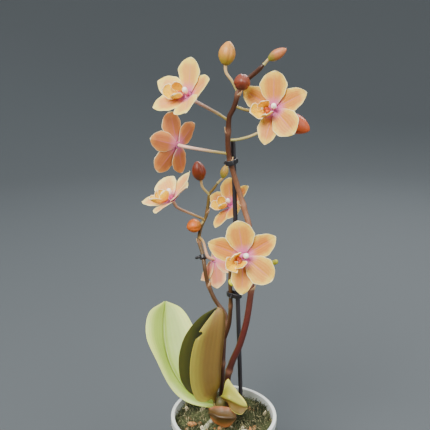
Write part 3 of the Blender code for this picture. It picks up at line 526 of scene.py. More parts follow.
def baked(piece, name, every_layer=False):
    """The piece with its modifiers applied, as a new object. The piece goes."""
    graph = bpy.context.evaluated_depsgraph_get()
    mesh = bpy.data.meshes.new_from_object(
        piece.evaluated_get(graph), preserve_all_data_layers=every_layer, depsgraph=graph)
    bpy.data.objects.remove(piece)
    return linked(name, mesh)


def grown(name, base, growth, sizes):
    """The mesh that a tree grows on a base object, as an object of its own. The base goes."""
    modifier = base.modifiers.new("Growth", "NODES")
    modifier.node_group = growth.tree
    for item in growth.tree.interface.items_tree:
        if item.in_out == "INPUT" and item.name in sizes:
            modifier[item.identifier] = sizes[item.name]
    return baked(base, name, every_layer=True)


# ---------------------------------------------------------------------------
# Mesh tools
# ---------------------------------------------------------------------------

def mesh_object(name, points, faces, finishes, numbers=None, indices=None):
    """A smooth object of points and faces, with numbers stored on its points."""
    mesh = bpy.data.meshes.new(name)
    mesh.from_pydata([tuple(point) for point in points], [], faces)
    for finish in finishes:
        mesh.materials.append(finish)
    if indices is not None:
        mesh.polygons.foreach_set("material_index", indices)
    for key, values in (numbers or {}).items():
        layer = mesh.attributes.new(key, "FLOAT", "POINT")
        layer.data.foreach_set("value", np.asarray(values, np.float32))
    mesh.polygons.foreach_set("use_smooth", [True] * len(mesh.polygons))
    return linked(name, mesh)


def bmesh_object(name, bm, finish=None):
    """The bmesh as an object, smooth and with its faces turned out if it has a finish."""
    mesh = bpy.data.meshes.new(name)
    bm.to_mesh(mesh)
    bm.free()
    made = linked(name, mesh)
    if finish:
        mesh.materials.append(finish)
        mesh.polygons.foreach_set("use_smooth", [True] * len(mesh.polygons))
        outward(made)
    return made


def finished(piece, slot, *nodes):
    """The piece moves with the plant and stands for its solids."""
    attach(piece, "root")
    if nodes:
        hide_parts(*nodes)
    return piece


def catmull_rom(p0, p1, p2, p3, t):
    return 0.5 * (
        2 * p1 + (p2 - p0) * t + (2 * p0 - 5 * p1 + 4 * p2 - p3) * t * t
        + (3 * p1 - p0 - 3 * p2 + p3) * t**3
    )


def along(places, share):
    """The place at a share from 0 to 1 of a smooth curve through the given places."""
    count = len(places) - 1
    at = min(share * count, count - 1e-6)
    i = int(at)
    before = places[i - 1] if i else 2 * places[0] - places[1]
    after = places[i + 2] if i + 2 <= count else 2 * places[count] - places[count - 1]
    return catmull_rom(before, places[i], places[i + 1], after, at - i)


def even_route(places, step):
    """Points about a step apart on the smooth curve through the places."""
    fine = [along(places, i / 400) for i in range(401)]
    run = np.cumsum([0] + [(b - a).length for a, b in zip(fine, fine[1:])])
    count = max(4, round(run[-1] / step))
    stops = np.linspace(0, run[-1], count + 1)
    columns = [np.interp(stops, run, [place[k] for place in fine]) for k in range(3)]
    return [Vector(place) for place in zip(*columns)]


class Sheet:
    """The points, faces and stored numbers of thin closed sheets that share one mesh."""

    def __init__(self):
        self.points = []
        self.faces = []
        self.indices = []
        self.numbers = {"along": [], "across": [], "warmth": []}

    def add(self, grid, thick, s, t, warmth=0.0, back_index=1):
        """Adds a sheet about a grid of places, thick there, at shares s along and t across."""
        lengthways = np.gradient(grid, axis=0)
        crossways = np.gradient(grid, axis=1)
        normal = np.cross(lengthways, crossways)
        normal /= np.maximum(np.linalg.norm(normal, axis=2, keepdims=True), 1e-12)
        half = normal * thick[..., None] / 2
        rows, columns = grid.shape[:2]
        first = len(self.points)
        layer = rows * columns
        for face_of in (grid + half, grid - half):
            self.points += face_of.reshape(-1, 3).tolist()
        for key, values in (("along", s), ("across", t)):
            spread = np.broadcast_to(values, (rows, columns)).ravel()
            self.numbers[key] += np.tile(spread, 2).tolist()
        self.numbers["warmth"] += [warmth] * (2 * layer)

        def corner(i, k, under):
            return first + under * layer + i * columns + k

        for i in range(rows - 1):
            for k in range(columns - 1):
                for under in (0, 1):
                    ring = [corner(i, k, under), corner(i + 1, k, under),
                            corner(i + 1, k + 1, under), corner(i, k + 1, under)]
                    self.faces.append(ring[::-1] if under else ring)
                    self.indices.append(under * back_index)
        around = [(i, 0) for i in range(rows)] + [(rows - 1, k) for k in range(1, columns)]
        around += [(i, columns - 1) for i in range(rows - 2, -1, -1)]
        around += [(0, k) for k in range(columns - 2, 0, -1)]
        for here, ahead in zip(around, around[1:] + around[:1]):
            self.faces.append([corner(*here, 0), corner(*here, 1), corner(*ahead, 1),
                               corner(*ahead, 0)])
            self.indices.append(0)

    def object(self, name, finishes):
        made = mesh_object(name, self.points, self.faces, finishes, self.numbers, self.indices)
        outward(made)
        return made


def bands(first, rings, sides, wrap=0):
    """The faces between rings of points that follow one another, or that close after wrap."""
    faces = []
    for i in range(rings):
        low = first + i * sides
        high = first + ((i + 1) % wrap if wrap else i + 1) * sides
        faces += [[low + k, low + (k + 1) % sides, high + (k + 1) % sides, high + k]
                  for k in range(sides)]
    return faces


def outward(piece):
    """Turns every face of a closed mesh to point out."""
    bm = bmesh.new()
    bm.from_mesh(piece.data)
    bmesh.ops.recalc_face_normals(bm, faces=bm.faces)
    bm.to_mesh(piece.data)
    bm.free()


def lathe(name, profile, sides, finishes):
    """A solid turned about Z from a profile of radius and height that starts and ends on Z."""
    points, faces = [], []
    rings = []
    for radius, height in profile:
        count = sides if radius > 0 else 1
        rings.append(range(len(points), len(points) + count))
        points += [(radius * math.cos(a), radius * math.sin(a), height)
                   for a in (math.tau * k / sides for k in range(count))]
    for low, high in zip(rings, rings[1:]):
        for k in range(sides):
            ahead = (k + 1) % sides
            ring = [low[k % len(low)], low[ahead % len(low)], high[ahead % len(high)],
                    high[k % len(high)]]
            faces.append(list(dict.fromkeys(ring)))
    made = mesh_object(name, points, faces, finishes)
    outward(made)
    return made


def rounded(corners, radius, steps=5):
    """A profile whose inner corners are rounded to a radius."""
    line = [corners[0]]
    for before, corner, after in zip(corners, corners[1:], corners[2:]):
        corner = Vector(corner)
        back = (Vector(before) - corner)
        ahead = (Vector(after) - corner)
        reach = min(radius, back.length / 2, ahead.length / 2)
        start = corner + back.normalized() * reach
        end = corner + ahead.normalized() * reach
        for i in range(steps + 1):
            share = i / steps
            line.append(tuple(start.lerp(corner, share).lerp(corner.lerp(end, share), share)))
    line.append(corners[-1])
    return line


# ---------------------------------------------------------------------------
# Stems: every round growth follows its route in one Geometry Nodes tree
# ---------------------------------------------------------------------------

GROWTHS = {}


def stem_growth():
    """A round stem along a line of points, each with its girth, its skin slightly uneven."""
    if "Stem" in GROWTHS:
        return GROWTHS["Stem"]
    growth = Growth("Stem")
    sides = growth.size("Sides", "NodeSocketInt")
    uneven = growth.size("Uneven")
    grain = growth.size("Grain")
    finish = growth.size("Finish", "NodeSocketMaterial")
    line = growth.node("GeometryNodeMeshToCurve", inputs={"Mesh": growth.source.outputs[0]})
    girth = growth.node("GeometryNodeInputNamedAttribute", {"data_type": "FLOAT"},
                        {"Name": "girth"})
    ring = growth.node("GeometryNodeCurvePrimitiveCircle", inputs={
        "Resolution": sides, "Radius": 1.0})
    tube = growth.node("GeometryNodeCurveToMesh", inputs={
        "Curve": line.outputs[0], "Profile Curve": ring.outputs[0],
        "Scale": girth.outputs[0], "Fill Caps": True})
    spot = growth.node("GeometryNodeInputPosition")
    lumps = growth.node("ShaderNodeTexNoise", inputs={
        "Vector": spot.outputs[0], "Scale": grain, "Detail": 2.0})
    centred = growth.node("ShaderNodeMath", {"operation": "SUBTRACT"}, {
        0: lumps.outputs[0], 1: 0.5})
    reach = growth.node("ShaderNodeMath", {"operation": "MULTIPLY"}, {
        0: centred.outputs[0], 1: uneven})
    normal = growth.node("GeometryNodeInputNormal")
    push = growth.node("ShaderNodeVectorMath", {"operation": "SCALE"}, {
        0: normal.outputs[0], "Scale": reach.outputs[0]})
    shaped = growth.node("GeometryNodeSetPosition", inputs={
        "Geometry": tube.outputs[0], "Offset": push.outputs[0]})
    smooth = growth.node("GeometryNodeSetShadeSmooth", inputs={"Geometry": shaped.outputs[0]})
    GROWTHS["Stem"] = growth.end(smooth.outputs[0], finish)
    return growth


def stem(name, route, girths, finish, sides=20, uneven=0.0, grain=300.0, numbers=None):
    """A round stem along a route with a radius at each point."""
    mesh = bpy.data.meshes.new(name)
    mesh.from_pydata([tuple(place) for place in route],
                     [(i, i + 1) for i in range(len(route) - 1)], [])
    stored = {"girth": girths, "along": np.linspace(0, 1, len(route))}
    stored.update(numbers or {})
    for key, values in stored.items():
        layer = mesh.attributes.new(key, "FLOAT", "POINT")
        layer.data.foreach_set("value", np.asarray(values, np.float32))
    return grown(name, linked(f"{name}_line", mesh), stem_growth(), {
        "Sides": sides, "Uneven": uneven, "Grain": grain, "Finish": finish})


def domed(girths, steps=4):
    """The girths with a rounded end at the last point."""
    ends = list(girths)
    for i in range(steps):
        ends[-1 - i] *= math.sqrt(1 - (1 - (i + 0.15) / steps) ** 2)
    return ends


# ---------------------------------------------------------------------------
# Finishes
# ---------------------------------------------------------------------------

def plastic_finish(plastic):
    """Grey moulded plastic with turning rings, dust, and darker, browner colour towards the foot.
    """
    paint = Paint("pot_plastic", {"Specular IOR Level": 0.45, "Subsurface Weight": 0.08,
                                  "Subsurface Scale": 2 * MM})
    cloud = paint.noise(40, 4)
    dust = paint.smooth(paint.noise(420, 5, 0.7), 0.52, 0.72)
    # Darker and browner over the lowest 16 mm of the pot.
    low = 1 - paint.smooth(paint.height() + cloud * (8 * MM), 0.0, 16 * MM)
    tone = paint.mix(cloud * 0.5, plastic, tuple(0.78 * level for level in plastic))
    tone = paint.mix(low * 0.3, tone, srgb(120, 112, 94))
    tone = paint.mix(dust * 0.18, tone, srgb(210, 206, 190))
    rings = paint.maths("SINE", paint.height() * 5200)
    relief = rings * 0.12 + paint.noise(900, 2) * 0.3 + dust * 0.2
    return paint.skin(tone, 0.36 + dust * 0.25 + cloud * 0.12, relief, 0.06 * MM)


def moss_finish(settings):
    """Dark mottled moss whose strands run from shade to dry straw."""
    paint = Paint("moss", {"Specular IOR Level": 0.2})
    patch = paint.smooth(paint.noise(70, 3), 0.35, 0.7)
    strand = paint.read("tone")
    tone = paint.mix(patch, tuple(settings.shade), tuple(settings.moss))
    tone = paint.mix(paint.smooth(strand, 0.72, 1.0) * 0.75, tone, tuple(settings.dry))
    tone = paint.mix(paint.smooth(paint.noise(240, 3), 0.55, 0.75) * 0.4, tone,
                     srgb(58, 62, 30))
    return paint.skin(tone, 0.92, paint.noise(1400, 4), 0.3 * MM)


def bark_finish(name, light, dark):
    """Dry bark with a layered grain."""
    paint = Paint(name, {"Specular IOR Level": 0.2})
    grain = paint.noise(900, 4, 0.65, (1, 3.5, 2))
    pits = paint.cells(1300)
    tone = paint.mix(paint.smooth(grain, 0.35, 0.68), dark, light)
    tone = paint.mix(paint.smooth(pits, 0.5, 0.9) * 0.3, tone, srgb(216, 200, 166))
    return paint.skin(tone, 0.85 + grain * 0.1, grain * 0.7 + pits * 0.3, 0.35 * MM)


def root_finish():
    """A velvety pale green root with a silver skin."""
    paint = Paint("root_green", {"Sheen Weight": 0.25, "Sheen Roughness": 0.5})
    patch = paint.noise(260, 4)
    tone = paint.mix(paint.smooth(patch, 0.38, 0.66), srgb(150, 158, 112), srgb(204, 204, 178))
    tone = paint.mix((1 - paint.smooth(paint.read("along"), 0.0, 0.9)) * 0.35, tone,
                     srgb(116, 100, 66))
    return paint.skin(tone, 0.72, patch * 0.5 + paint.noise(1500, 2) * 0.5, 0.12 * MM)


def leaf_finish(name, middle, rim, vein, gloss=0.4, lower=None):
    """A waxy leaf: fine lengthwise veins, a darker midrib, a lighter rim with a thin painted
    highlight along its very edge, and its other half.
    """
    paint = Paint(name, {"Specular IOR Level": 0.45, "Subsurface Weight": 0.12,
                         "Subsurface Scale": 1.5 * MM, "Coat Weight": 0.12,
                         "Coat Roughness": 0.3})
    across = paint.read("across")
    edge = paint.maths("ABSOLUTE", across)
    cloud = paint.noise(95, 4)
    veins = paint.maths("SINE", across * 46 + cloud * 3) * 0.5 + 0.5
    tone = paint.mix(paint.smooth(edge + cloud * 0.3, 0.62, 1.12), middle, rim)
    if lower:
        tone = paint.mix(paint.smooth(across + cloud * 0.1, 0.02, 0.1), tone, lower)
    tone = paint.mix((1 - paint.smooth(edge, 0.0, 0.13)) * 0.55, tone, vein)
    tone = paint.mix(veins * 0.12, tone, vein)
    # Painted highlight: the very edge of the leaf is lifted to a brighter copy of its rim colour.
    tone = paint.mix(paint.smooth(edge, 0.955, 1.0) * 0.8, tone,
                     tuple(min(1, 1.25 * level) for level in rim))
    tone = paint.mix(paint.smooth(cloud, 0.5, 0.8) * 0.22, tone, vein)
    return paint.skin(tone, gloss + cloud * 0.15, veins * 0.4 + paint.noise(800, 3) * 0.4,
                      0.1 * MM)


def petal_finish(name, palette, flush, reverse=False):
    """A petal: peach middle, cream margin, a thin painted highlight along the rim, fine veins and
    a flushed foot.
    """
    centre, margin, warm, back, back_margin = (srgb(*levels) for levels in PALETTES[palette])
    if reverse:
        centre, margin, warm = back, back_margin, tuple(0.85 * level for level in back)
    paint = Paint(name, {"Specular IOR Level": 0.3, "Subsurface Weight": 0.2,
                         "Subsurface Radius": (1.0, 0.55, 0.3), "Subsurface Scale": 1.2 * MM,
                         "Sheen Weight": 0.12, "Sheen Roughness": 0.45})
    reach = paint.read("along")
    across = paint.read("across")
    warmth = paint.read("warmth")
    edge = paint.maths("ABSOLUTE", across)
    cloud = paint.noise(150, 4)
    out = paint.maths("MAXIMUM", edge, paint.smooth(reach, 0.45, 1.04))
    veins = paint.maths("SINE", across * 30 + cloud * 4) * 0.5 + 0.5
    middle = paint.mix(warmth, centre, warm)
    tone = paint.mix(paint.smooth(out + cloud * 0.35, 0.62, 1.12) * 0.9, middle, margin)
    tone = paint.mix(veins * (1 - out) * 0.36, tone, warm)
    mottle = paint.smooth(paint.noise(520, 4, 0.65), 0.44, 0.66)
    tone = paint.mix(mottle * 0.26, tone, warm)
    tone = paint.mix((1 - paint.smooth(edge, 0.0, 0.09)) * (1 - reach) * 0.5, tone, flush)
    foot = 1 - paint.smooth(reach + cloud * 0.14, 0.1, 0.42)
    tone = paint.mix(foot * (0.5 if reverse else 0.85), tone, flush)
    # Painted highlight: a thin near-white line along the petal's rim.
    tone = paint.mix(paint.smooth(out, 0.94, 0.99) * 0.75, tone, srgb(*RIM_PAINTED_HIGHLIGHT))
    grain = paint.noise(2600, 2)
    return paint.skin(tone, 0.42 + grain * 0.16, veins * 0.55 + grain * 0.35, 0.07 * MM)


def lip_finish(settings):
    """A waxy yellow lip with a warm throat and cream margins."""
    paint = Paint("lip_yellow", {"Specular IOR Level": 0.4, "Subsurface Weight": 0.1,
                                 "Subsurface Radius": (1.0, 0.5, 0.2),
                                 "Subsurface Scale": 1 * MM, "Coat Weight": 0.15,
                                 "Coat Roughness": 0.25})
    reach = paint.read("along")
    edge = paint.maths("ABSOLUTE", paint.read("across"))
    side = paint.read("warmth")
    cloud = paint.noise(500, 4)
    throat = 1 - paint.smooth(reach + cloud * 0.3, 0.12, 0.5)
    tone = paint.mix(throat, tuple(settings.lip), tuple(settings.throat))
    spots = paint.smooth(paint.cells(1500), 0.0, 0.35)
    tone = paint.mix((1 - spots) * (1 - throat) * (1 - reach) * 0.4, tone, tuple(settings.throat))
    margin = paint.smooth(paint.maths("MAXIMUM", edge, reach) + side * 0.08, 0.88, 1.02)
    tone = paint.mix(margin * 0.85, tone, srgb(252, 244, 214))
    return paint.skin(tone, 0.34 + cloud * 0.12, cloud, 0.06 * MM)


def column_finish(settings):
    """The column: flushed at its foot, white at its cap."""
    paint = Paint("column_white", {"Specular IOR Level": 0.5, "Subsurface Weight": 0.25,
                                   "Subsurface Scale": 1 * MM, "Coat Weight": 0.2,
                                   "Coat Roughness": 0.2})
    reach = paint.read("along")
    cloud = paint.noise(600, 3)
    tone = paint.mix(paint.smooth(reach + cloud * 0.2, 0.35, 0.85), tuple(settings.flush),
                     tuple(settings.column))
    return paint.skin(tone, 0.3 + cloud * 0.1, cloud, 0.05 * MM)


def spike_finish(name, stops, speckle):
    """A living stem whose colour changes with height, with fine specks and pale nodes."""
    paint = Paint(name, {"Specular IOR Level": 0.4, "Coat Weight": 0.1, "Coat Roughness": 0.35})
    height = paint.height() + (paint.noise(60, 3) - 0.5) * (14 * MM)
    tone = stops[0][1]
    for (low, _), (high, following) in zip(stops, stops[1:]):
        tone = paint.mix(paint.smooth(height, low, high), tone, following)
    specks = paint.smooth(paint.noise(1900, 4, 0.7, (1, 1, 0.35)), 0.5, 0.68)
    tone = paint.mix(specks * 0.4, tone, speckle)
    tone = paint.mix(paint.read("knot") * 0.35, tone, srgb(168, 118, 90))
    streak = paint.noise(700, 3, 0.6, (1, 1, 0.1))
    return paint.skin(tone, 0.42 + specks * 0.2, streak * 0.6 + specks * 0.4, 0.1 * MM)


def stalk_finish(name, foot, tip):
    """A flower's stalk, green at the spike and pink by the flower."""
    paint = Paint(name, {"Specular IOR Level": 0.4, "Subsurface Weight": 0.12,
                         "Subsurface Scale": 1 * MM, "Coat Weight": 0.1, "Coat Roughness": 0.3})
    cloud = paint.noise(300, 3)
    tone = paint.mix(paint.smooth(paint.read("along") + (cloud - 0.5) * 0.3, 0.1, 0.75),
                     foot, tip)
    tone = paint.mix(paint.smooth(cloud, 0.55, 0.75) * 0.3, tone, srgb(176, 132, 96))
    return paint.skin(tone, 0.4 + cloud * 0.1, paint.noise(1500, 2), 0.04 * MM)


def bud_finish(name, foot, tip):
    """A bud: green at its foot, warm at its tip, with painted shade in its three seams."""
    paint = Paint(name, {"Specular IOR Level": 0.4, "Subsurface Weight": 0.15,
                         "Subsurface Scale": 1.5 * MM, "Coat Weight": 0.1,
                         "Coat Roughness": 0.3})
    reach = paint.read("along")
    seam = paint.read("across")
    cloud = paint.noise(240, 4)
    tone = paint.mix(paint.smooth(reach + (cloud - 0.5) * 0.3, 0.05, 0.6), foot, tip)
    veins = paint.smooth(paint.noise(700, 3, 0.6, (1, 1, 0.18)), 0.45, 0.7)
    tone = paint.mix(veins * 0.3, tone, tuple(0.8 * level for level in foot))
    # Painted shade: the seams are darkened as if in shadow.
    tone = paint.mix(seam * 0.45, tone, tuple(0.62 * level for level in tip))
    return paint.skin(tone, 0.4 + cloud * 0.12, veins * 0.5 + cloud * 0.5, 0.08 * MM)


def moulded_finish(name, tone, roughness):
    """Small moulded plastic with a fine satin skin."""
    paint = Paint(name, {"Specular IOR Level": 0.5})
    cloud = paint.noise(300, 3)
    worn = paint.smooth(paint.noise(1100, 4, 0.7), 0.58, 0.75)
    shade = paint.mix(cloud * 0.4, tone, tuple(0.6 * level for level in tone))
    shade = paint.mix(worn * 0.2, shade, tuple(min(1, 2.2 * level + 0.04) for level in tone))
    return paint.skin(shade, roughness + worn * 0.2, paint.noise(2000, 2), 0.04 * MM)


def floor_finish(tone):
    """A matt, slightly cloudy floor."""
    paint = Paint("studio_floor", {"Specular IOR Level": 0.25})
    cloud = paint.noise(6, 3)
    shade = paint.mix(cloud * 0.2, tone, tuple(0.94 * level for level in tone))
    return paint.skin(shade, 0.75)


# ---------------------------------------------------------------------------
# Pot and what fills it
# ---------------------------------------------------------------------------

def pot_inner_radius(pot, height):
    """Radius of the pot's inner wall at a height."""
    share = (height - pot.floor) / (pot.height - pot.floor)
    outer = pot.foot_radius + (pot.rim_radius - pot.rim_step - pot.foot_radius) * share
    return outer - pot.wall


def make_pot(pot):
    """The pot: a turned shell with a rolled rim and drain holes."""
    body = pot.rim_radius - pot.rim_step
    under_rim = pot.height - pot.rim_height
    inner_top = body - pot.wall
    corners = [
        (0, 0.6 * MM), (pot.foot_radius - 4 * MM, 0.6 * MM), (pot.foot_radius - 4.6 * MM, 0),
        (pot.foot_radius, 0), (pot.foot_radius + 0.3 * MM, 3 * MM),
        (body, under_rim - 0.4 * MM), (body, under_rim),
        (pot.rim_radius, under_rim + 0.3 * MM), (pot.rim_radius, pot.height),
        (inner_top, pot.height), (inner_top - 0.1 * MM, under_rim),
        (pot_inner_radius(pot, pot.floor), pot.floor), (0, pot.floor),
    ]
    finish = plastic_finish(tuple(pot.plastic))
    shell = lathe("pot_shell", rounded(corners, 0.6 * MM), pot.sides, [finish])
    holes = []
    for k in range(pot.drains):
        angle = math.tau * (k + 0.5) / pot.drains
        at = Vector((math.cos(angle), math.sin(angle), 0)) * pot.drain_circle
        bm = bmesh.new()
        bmesh.ops.create_cone(bm, cap_ends=True, segments=40, radius1=pot.drain_radius,
                              radius2=pot.drain_radius, depth=6 * pot.floor)
        bmesh.ops.translate(bm, verts=bm.verts, vec=at)
        hole = bmesh_object("drain", bm)
        holes.append(hole)
        cut = shell.modifiers.new("Drain", "BOOLEAN")
        cut.operation = "DIFFERENCE"
        cut.object = hole
    made = baked(shell, "pot_fine")
    for hole in holes:
        bpy.data.objects.remove(hole)
    made.data.polygons.foreach_set("use_smooth", [True] * len(made.data.polygons))
    made.data.set_sharp_from_angle(angle=math.radians(40))
    finished(made, "pot_plastic", "pot")


def medium_height(pot, medium, radius, angle):
    """Height of the medium's surface: a low dome with lumps and hollows."""
    edge = pot_inner_radius(pot, MEDIUM_LEVEL)
    share = min(radius / edge, 1)
    lumps = math.sin(3 * angle + 1) * math.sin(5 * share * math.pi) * share
    lumps += 0.6 * math.sin(7 * angle + 4 * share)
    return MEDIUM_LEVEL + medium.dome * (1 - share**2) + lumps * 0.8 * MM


def make_medium(pot, medium):
    """The moss bed: a solid to the pot's floor with a rough top, and its strands."""
    finish = moss_finish(medium)
    sides, rings = 128, 44
    foot = pot.floor + 0.3 * MM
    edge = pot_inner_radius(pot, MEDIUM_LEVEL) - 0.4 * MM
    points = [(0, 0, foot)]
    points += [((pot_inner_radius(pot, foot) - 0.4 * MM) * math.cos(a),
                (pot_inner_radius(pot, foot) - 0.4 * MM) * math.sin(a), foot)
               for a in (math.tau * k / sides for k in range(sides))]
    for ring in range(rings):
        radius = edge * (1 - ring / rings)
        for k in range(sides):
            angle = math.tau * k / sides
            spot = Vector((radius * math.cos(angle), radius * math.sin(angle), 0))
            rough = noise.fractal(spot * 260, 0.7, 2.1, 4) * 1.1 * MM
            rough *= min(1, (edge - radius) / (1.5 * MM))
            points.append((spot.x, spot.y,
                           medium_height(pot, medium, radius, angle) - 0.3 * MM + rough))
    points.append((0, 0, medium_height(pot, medium, 0, 0)))
    faces = [[0, 1 + (k + 1) % sides, 1 + k] for k in range(sides)]
    faces += bands(1, rings, sides)
    last = 1 + rings * sides
    faces += [[last + k, last + (k + 1) % sides, len(points) - 1] for k in range(sides)]
    bed = mesh_object("moss_bed", points, faces, [finish], {"tone": [0.2] * len(points)})
    outward(bed)
    for layer in range(MOSS_LAYERS):
        copy = linked("moss_base", bed.data.copy())
        strands = grown(f"moss_strands_{layer + 1}", copy, moss_growth(), {
            "Density": medium.strands / MOSS_LAYERS, "Length": medium.strand_length,
            "Seed": medium.seed + layer, "Level": MEDIUM_LEVEL - 2 * MM, "Finish": finish})
        finished(strands, "moss")
    finished(bed, "moss", "growing_medium")
    grains_finish = bark_finish("bark_grains", srgb(178, 140, 96), srgb(84, 56, 36))
    copy = linked("grain_base", bed.data.copy())
    grains = grown("bark_grains", copy, grain_growth(), {
        "Density": medium.grains, "Seed": medium.seed + 1, "Level": MEDIUM_LEVEL - 2 * MM,
        "Finish": grains_finish})
    finished(grains, "bark")
    make_coarse_bark(pot, medium, seed=medium.seed)


def make_coarse_bark(pot, medium, seed):
    """Larger bark and root pieces, most of them round the crown."""
    rng = random.Random(seed)
    finishes = [bark_finish("bark_cream", srgb(226, 214, 176), srgb(168, 150, 112)),
                bark_finish("bark_brown", srgb(170, 134, 84), srgb(96, 66, 40)),
                bark_finish("bark_orange", srgb(222, 152, 84), srgb(150, 90, 48))]
    edge = pot_inner_radius(pot, MEDIUM_LEVEL)
    heaps = [[] for _ in finishes]
    for number in range(medium.chips):
        angle = rng.gauss(-math.pi / 2, 0.75) if number % 3 else rng.uniform(0, math.tau)
        radius = edge * (0.3 + 0.6 * rng.random() ** 0.8)
        size = rng.uniform(1.2, 3.0) * MM
        top = medium_height(pot, medium, radius, angle)
        spot = Vector((radius * math.cos(angle), radius * math.sin(angle), top + 0.25 * size))
        if radius + size < edge - 0.5 * MM:
            heaps[rng.choice((0, 0, 1, 1, 1, 2))].append((spot, size))
    for number, (heap, finish) in enumerate(zip(heaps, finishes)):
        bm = bmesh.new()
        for spot, size in heap:
            made = bmesh.ops.create_icosphere(bm, subdivisions=3, radius=1.0)
            turn = Euler([rng.uniform(0, math.tau) for _ in range(3)]).to_matrix()
            spread = Vector((1.3, rng.uniform(0.5, 0.9), rng.uniform(0.3, 0.6))) * size
            shift = Vector((rng.random(), rng.random(), rng.random())) * 9
            for vert in made["verts"]:
                rough = 0.85 + 0.4 * noise.fractal(vert.co * 1.3 + shift, 0.8, 2.0, 3)
                vert.co = turn @ (vert.co * rough * spread) + spot
        finished(bmesh_object(f"bark_heap_{number}", bm, finish), "bark")


def on_top(growth, level):
    """Whether a face looks up and lies above a level."""
    normal = growth.node("ShaderNodeSeparateXYZ", inputs={
        0: growth.node("GeometryNodeInputNormal").outputs[0]})
    spot = growth.node("ShaderNodeSeparateXYZ", inputs={
        0: growth.node("GeometryNodeInputPosition").outputs[0]})
    up = growth.node("FunctionNodeCompare", {"operation": "GREATER_THAN"}, {
        0: normal.outputs["Z"], 1: 0.2})
    high = growth.node("FunctionNodeCompare", {"operation": "GREATER_THAN"}, {
        0: spot.outputs["Z"], 1: level})
    both = growth.node("FunctionNodeBooleanMath", {"operation": "AND"}, {
        0: up.outputs[0], 1: high.outputs[0]})
    return both.outputs[0]


def moss_growth():
    """Short bent strands scattered over what looks up."""
    growth = Growth("Moss")
    density = growth.size("Density")
    length_ = growth.size("Length")
    seed = growth.size("Seed", "NodeSocketInt")
    level = growth.size("Level")
    finish = growth.size("Finish", "NodeSocketMaterial")
    spots = growth.node("GeometryNodeDistributePointsOnFaces", inputs={
        "Mesh": growth.source.outputs[0], "Selection": on_top(growth, level),
        "Density": density, "Seed": seed})
    tone = growth.node("FunctionNodeRandomValue", {"data_type": "FLOAT"}, {"Seed": 3})
    toned = growth.node("GeometryNodeStoreNamedAttribute", {"data_type": "FLOAT"}, {
        "Geometry": spots.outputs[0], "Name": "tone", "Value": tone.outputs[1]})
    arc = growth.node("GeometryNodeCurveQuadraticBezier", inputs={
        "Resolution": 4, "Start": (0, 0, -0.1), "Middle": (0.15, 0, 0.7),
        "End": (0.75, 0.1, 0.85)})
    ring = growth.node("GeometryNodeCurvePrimitiveCircle", inputs={
        "Resolution": 3, "Radius": 0.045})
    strand = growth.node("GeometryNodeCurveToMesh", inputs={
        "Curve": arc.outputs[0], "Profile Curve": ring.outputs[0], "Fill Caps": True})
    lean = growth.between("FLOAT_VECTOR", (-0.9, -0.9, 0), (0.9, 0.9, math.tau), 5)
    grow = growth.between("FLOAT", 0.35, 1.0, 7)
    sized = growth.node("ShaderNodeMath", {"operation": "MULTIPLY"}, {
        0: grow.outputs[1], 1: length_})
    copies = growth.node("GeometryNodeInstanceOnPoints", inputs={
        "Points": toned.outputs[0], "Instance": strand.outputs[0],
        "Rotation": lean.outputs[0], "Scale": sized.outputs[0]})
    smooth = growth.node("GeometryNodeSetShadeSmooth", inputs={"Geometry": copies.outputs[0]})
    return growth.end(smooth.outputs[0], finish)


def grain_growth():
    """Small angular grains scattered over what looks up."""
    growth = Growth("Grains")
    density = growth.size("Density")
    seed = growth.size("Seed", "NodeSocketInt")
    level = growth.size("Level")
    finish = growth.size("Finish", "NodeSocketMaterial")
    spots = growth.node("GeometryNodeDistributePointsOnFaces", inputs={
        "Mesh": growth.source.outputs[0], "Selection": on_top(growth, level),
        "Density": density, "Seed": seed})
    ball = growth.node("GeometryNodeMeshIcoSphere", inputs={"Radius": 1.0, "Subdivisions": 2})
    turn = growth.between("FLOAT_VECTOR", (0, 0, 0), (math.tau, math.tau, math.tau), 5)
    spread = growth.between(
        "FLOAT_VECTOR", (0.4 * MM, 0.3 * MM, 0.2 * MM), (1.6 * MM, 1.1 * MM, 0.7 * MM), 7)
    copies = growth.node("GeometryNodeInstanceOnPoints", inputs={
        "Points": spots.outputs[0], "Instance": ball.outputs[0],
        "Rotation": turn.outputs[0], "Scale": spread.outputs[0]})
    return growth.end(copies.outputs[0], finish)


def chip(name, node, finish, slot, seed):
    """A rough chip that fills its solid's box."""
    low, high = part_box(node)
    middle, half = (low + high) / 2, (high - low) / 2
    bm = bmesh.new()
    bmesh.ops.create_icosphere(bm, subdivisions=5, radius=1.0)
    for vert in bm.verts:
        shift = Vector((seed, 0, 0))
        ridge = noise.fractal(vert.co * 1.4 + shift, 0.8, 2.0, 5)
        flake = noise.voronoi(vert.co * 1.6 + shift)[0][0]
        vert.co *= 0.92 + 0.14 * ridge - 0.2 * max(0, 0.4 - flake)
        vert.co = Vector((vert.co.x * half.x, vert.co.y * half.y, vert.co.z * half.z)) + middle
    finished(bmesh_object(name, bm, finish), slot, node)


SURFACE_ROOT_ROUTE = [(-0.34, -0.28), (-0.47, -0.56), (-0.34, -0.75), (-0.09, -0.84)]


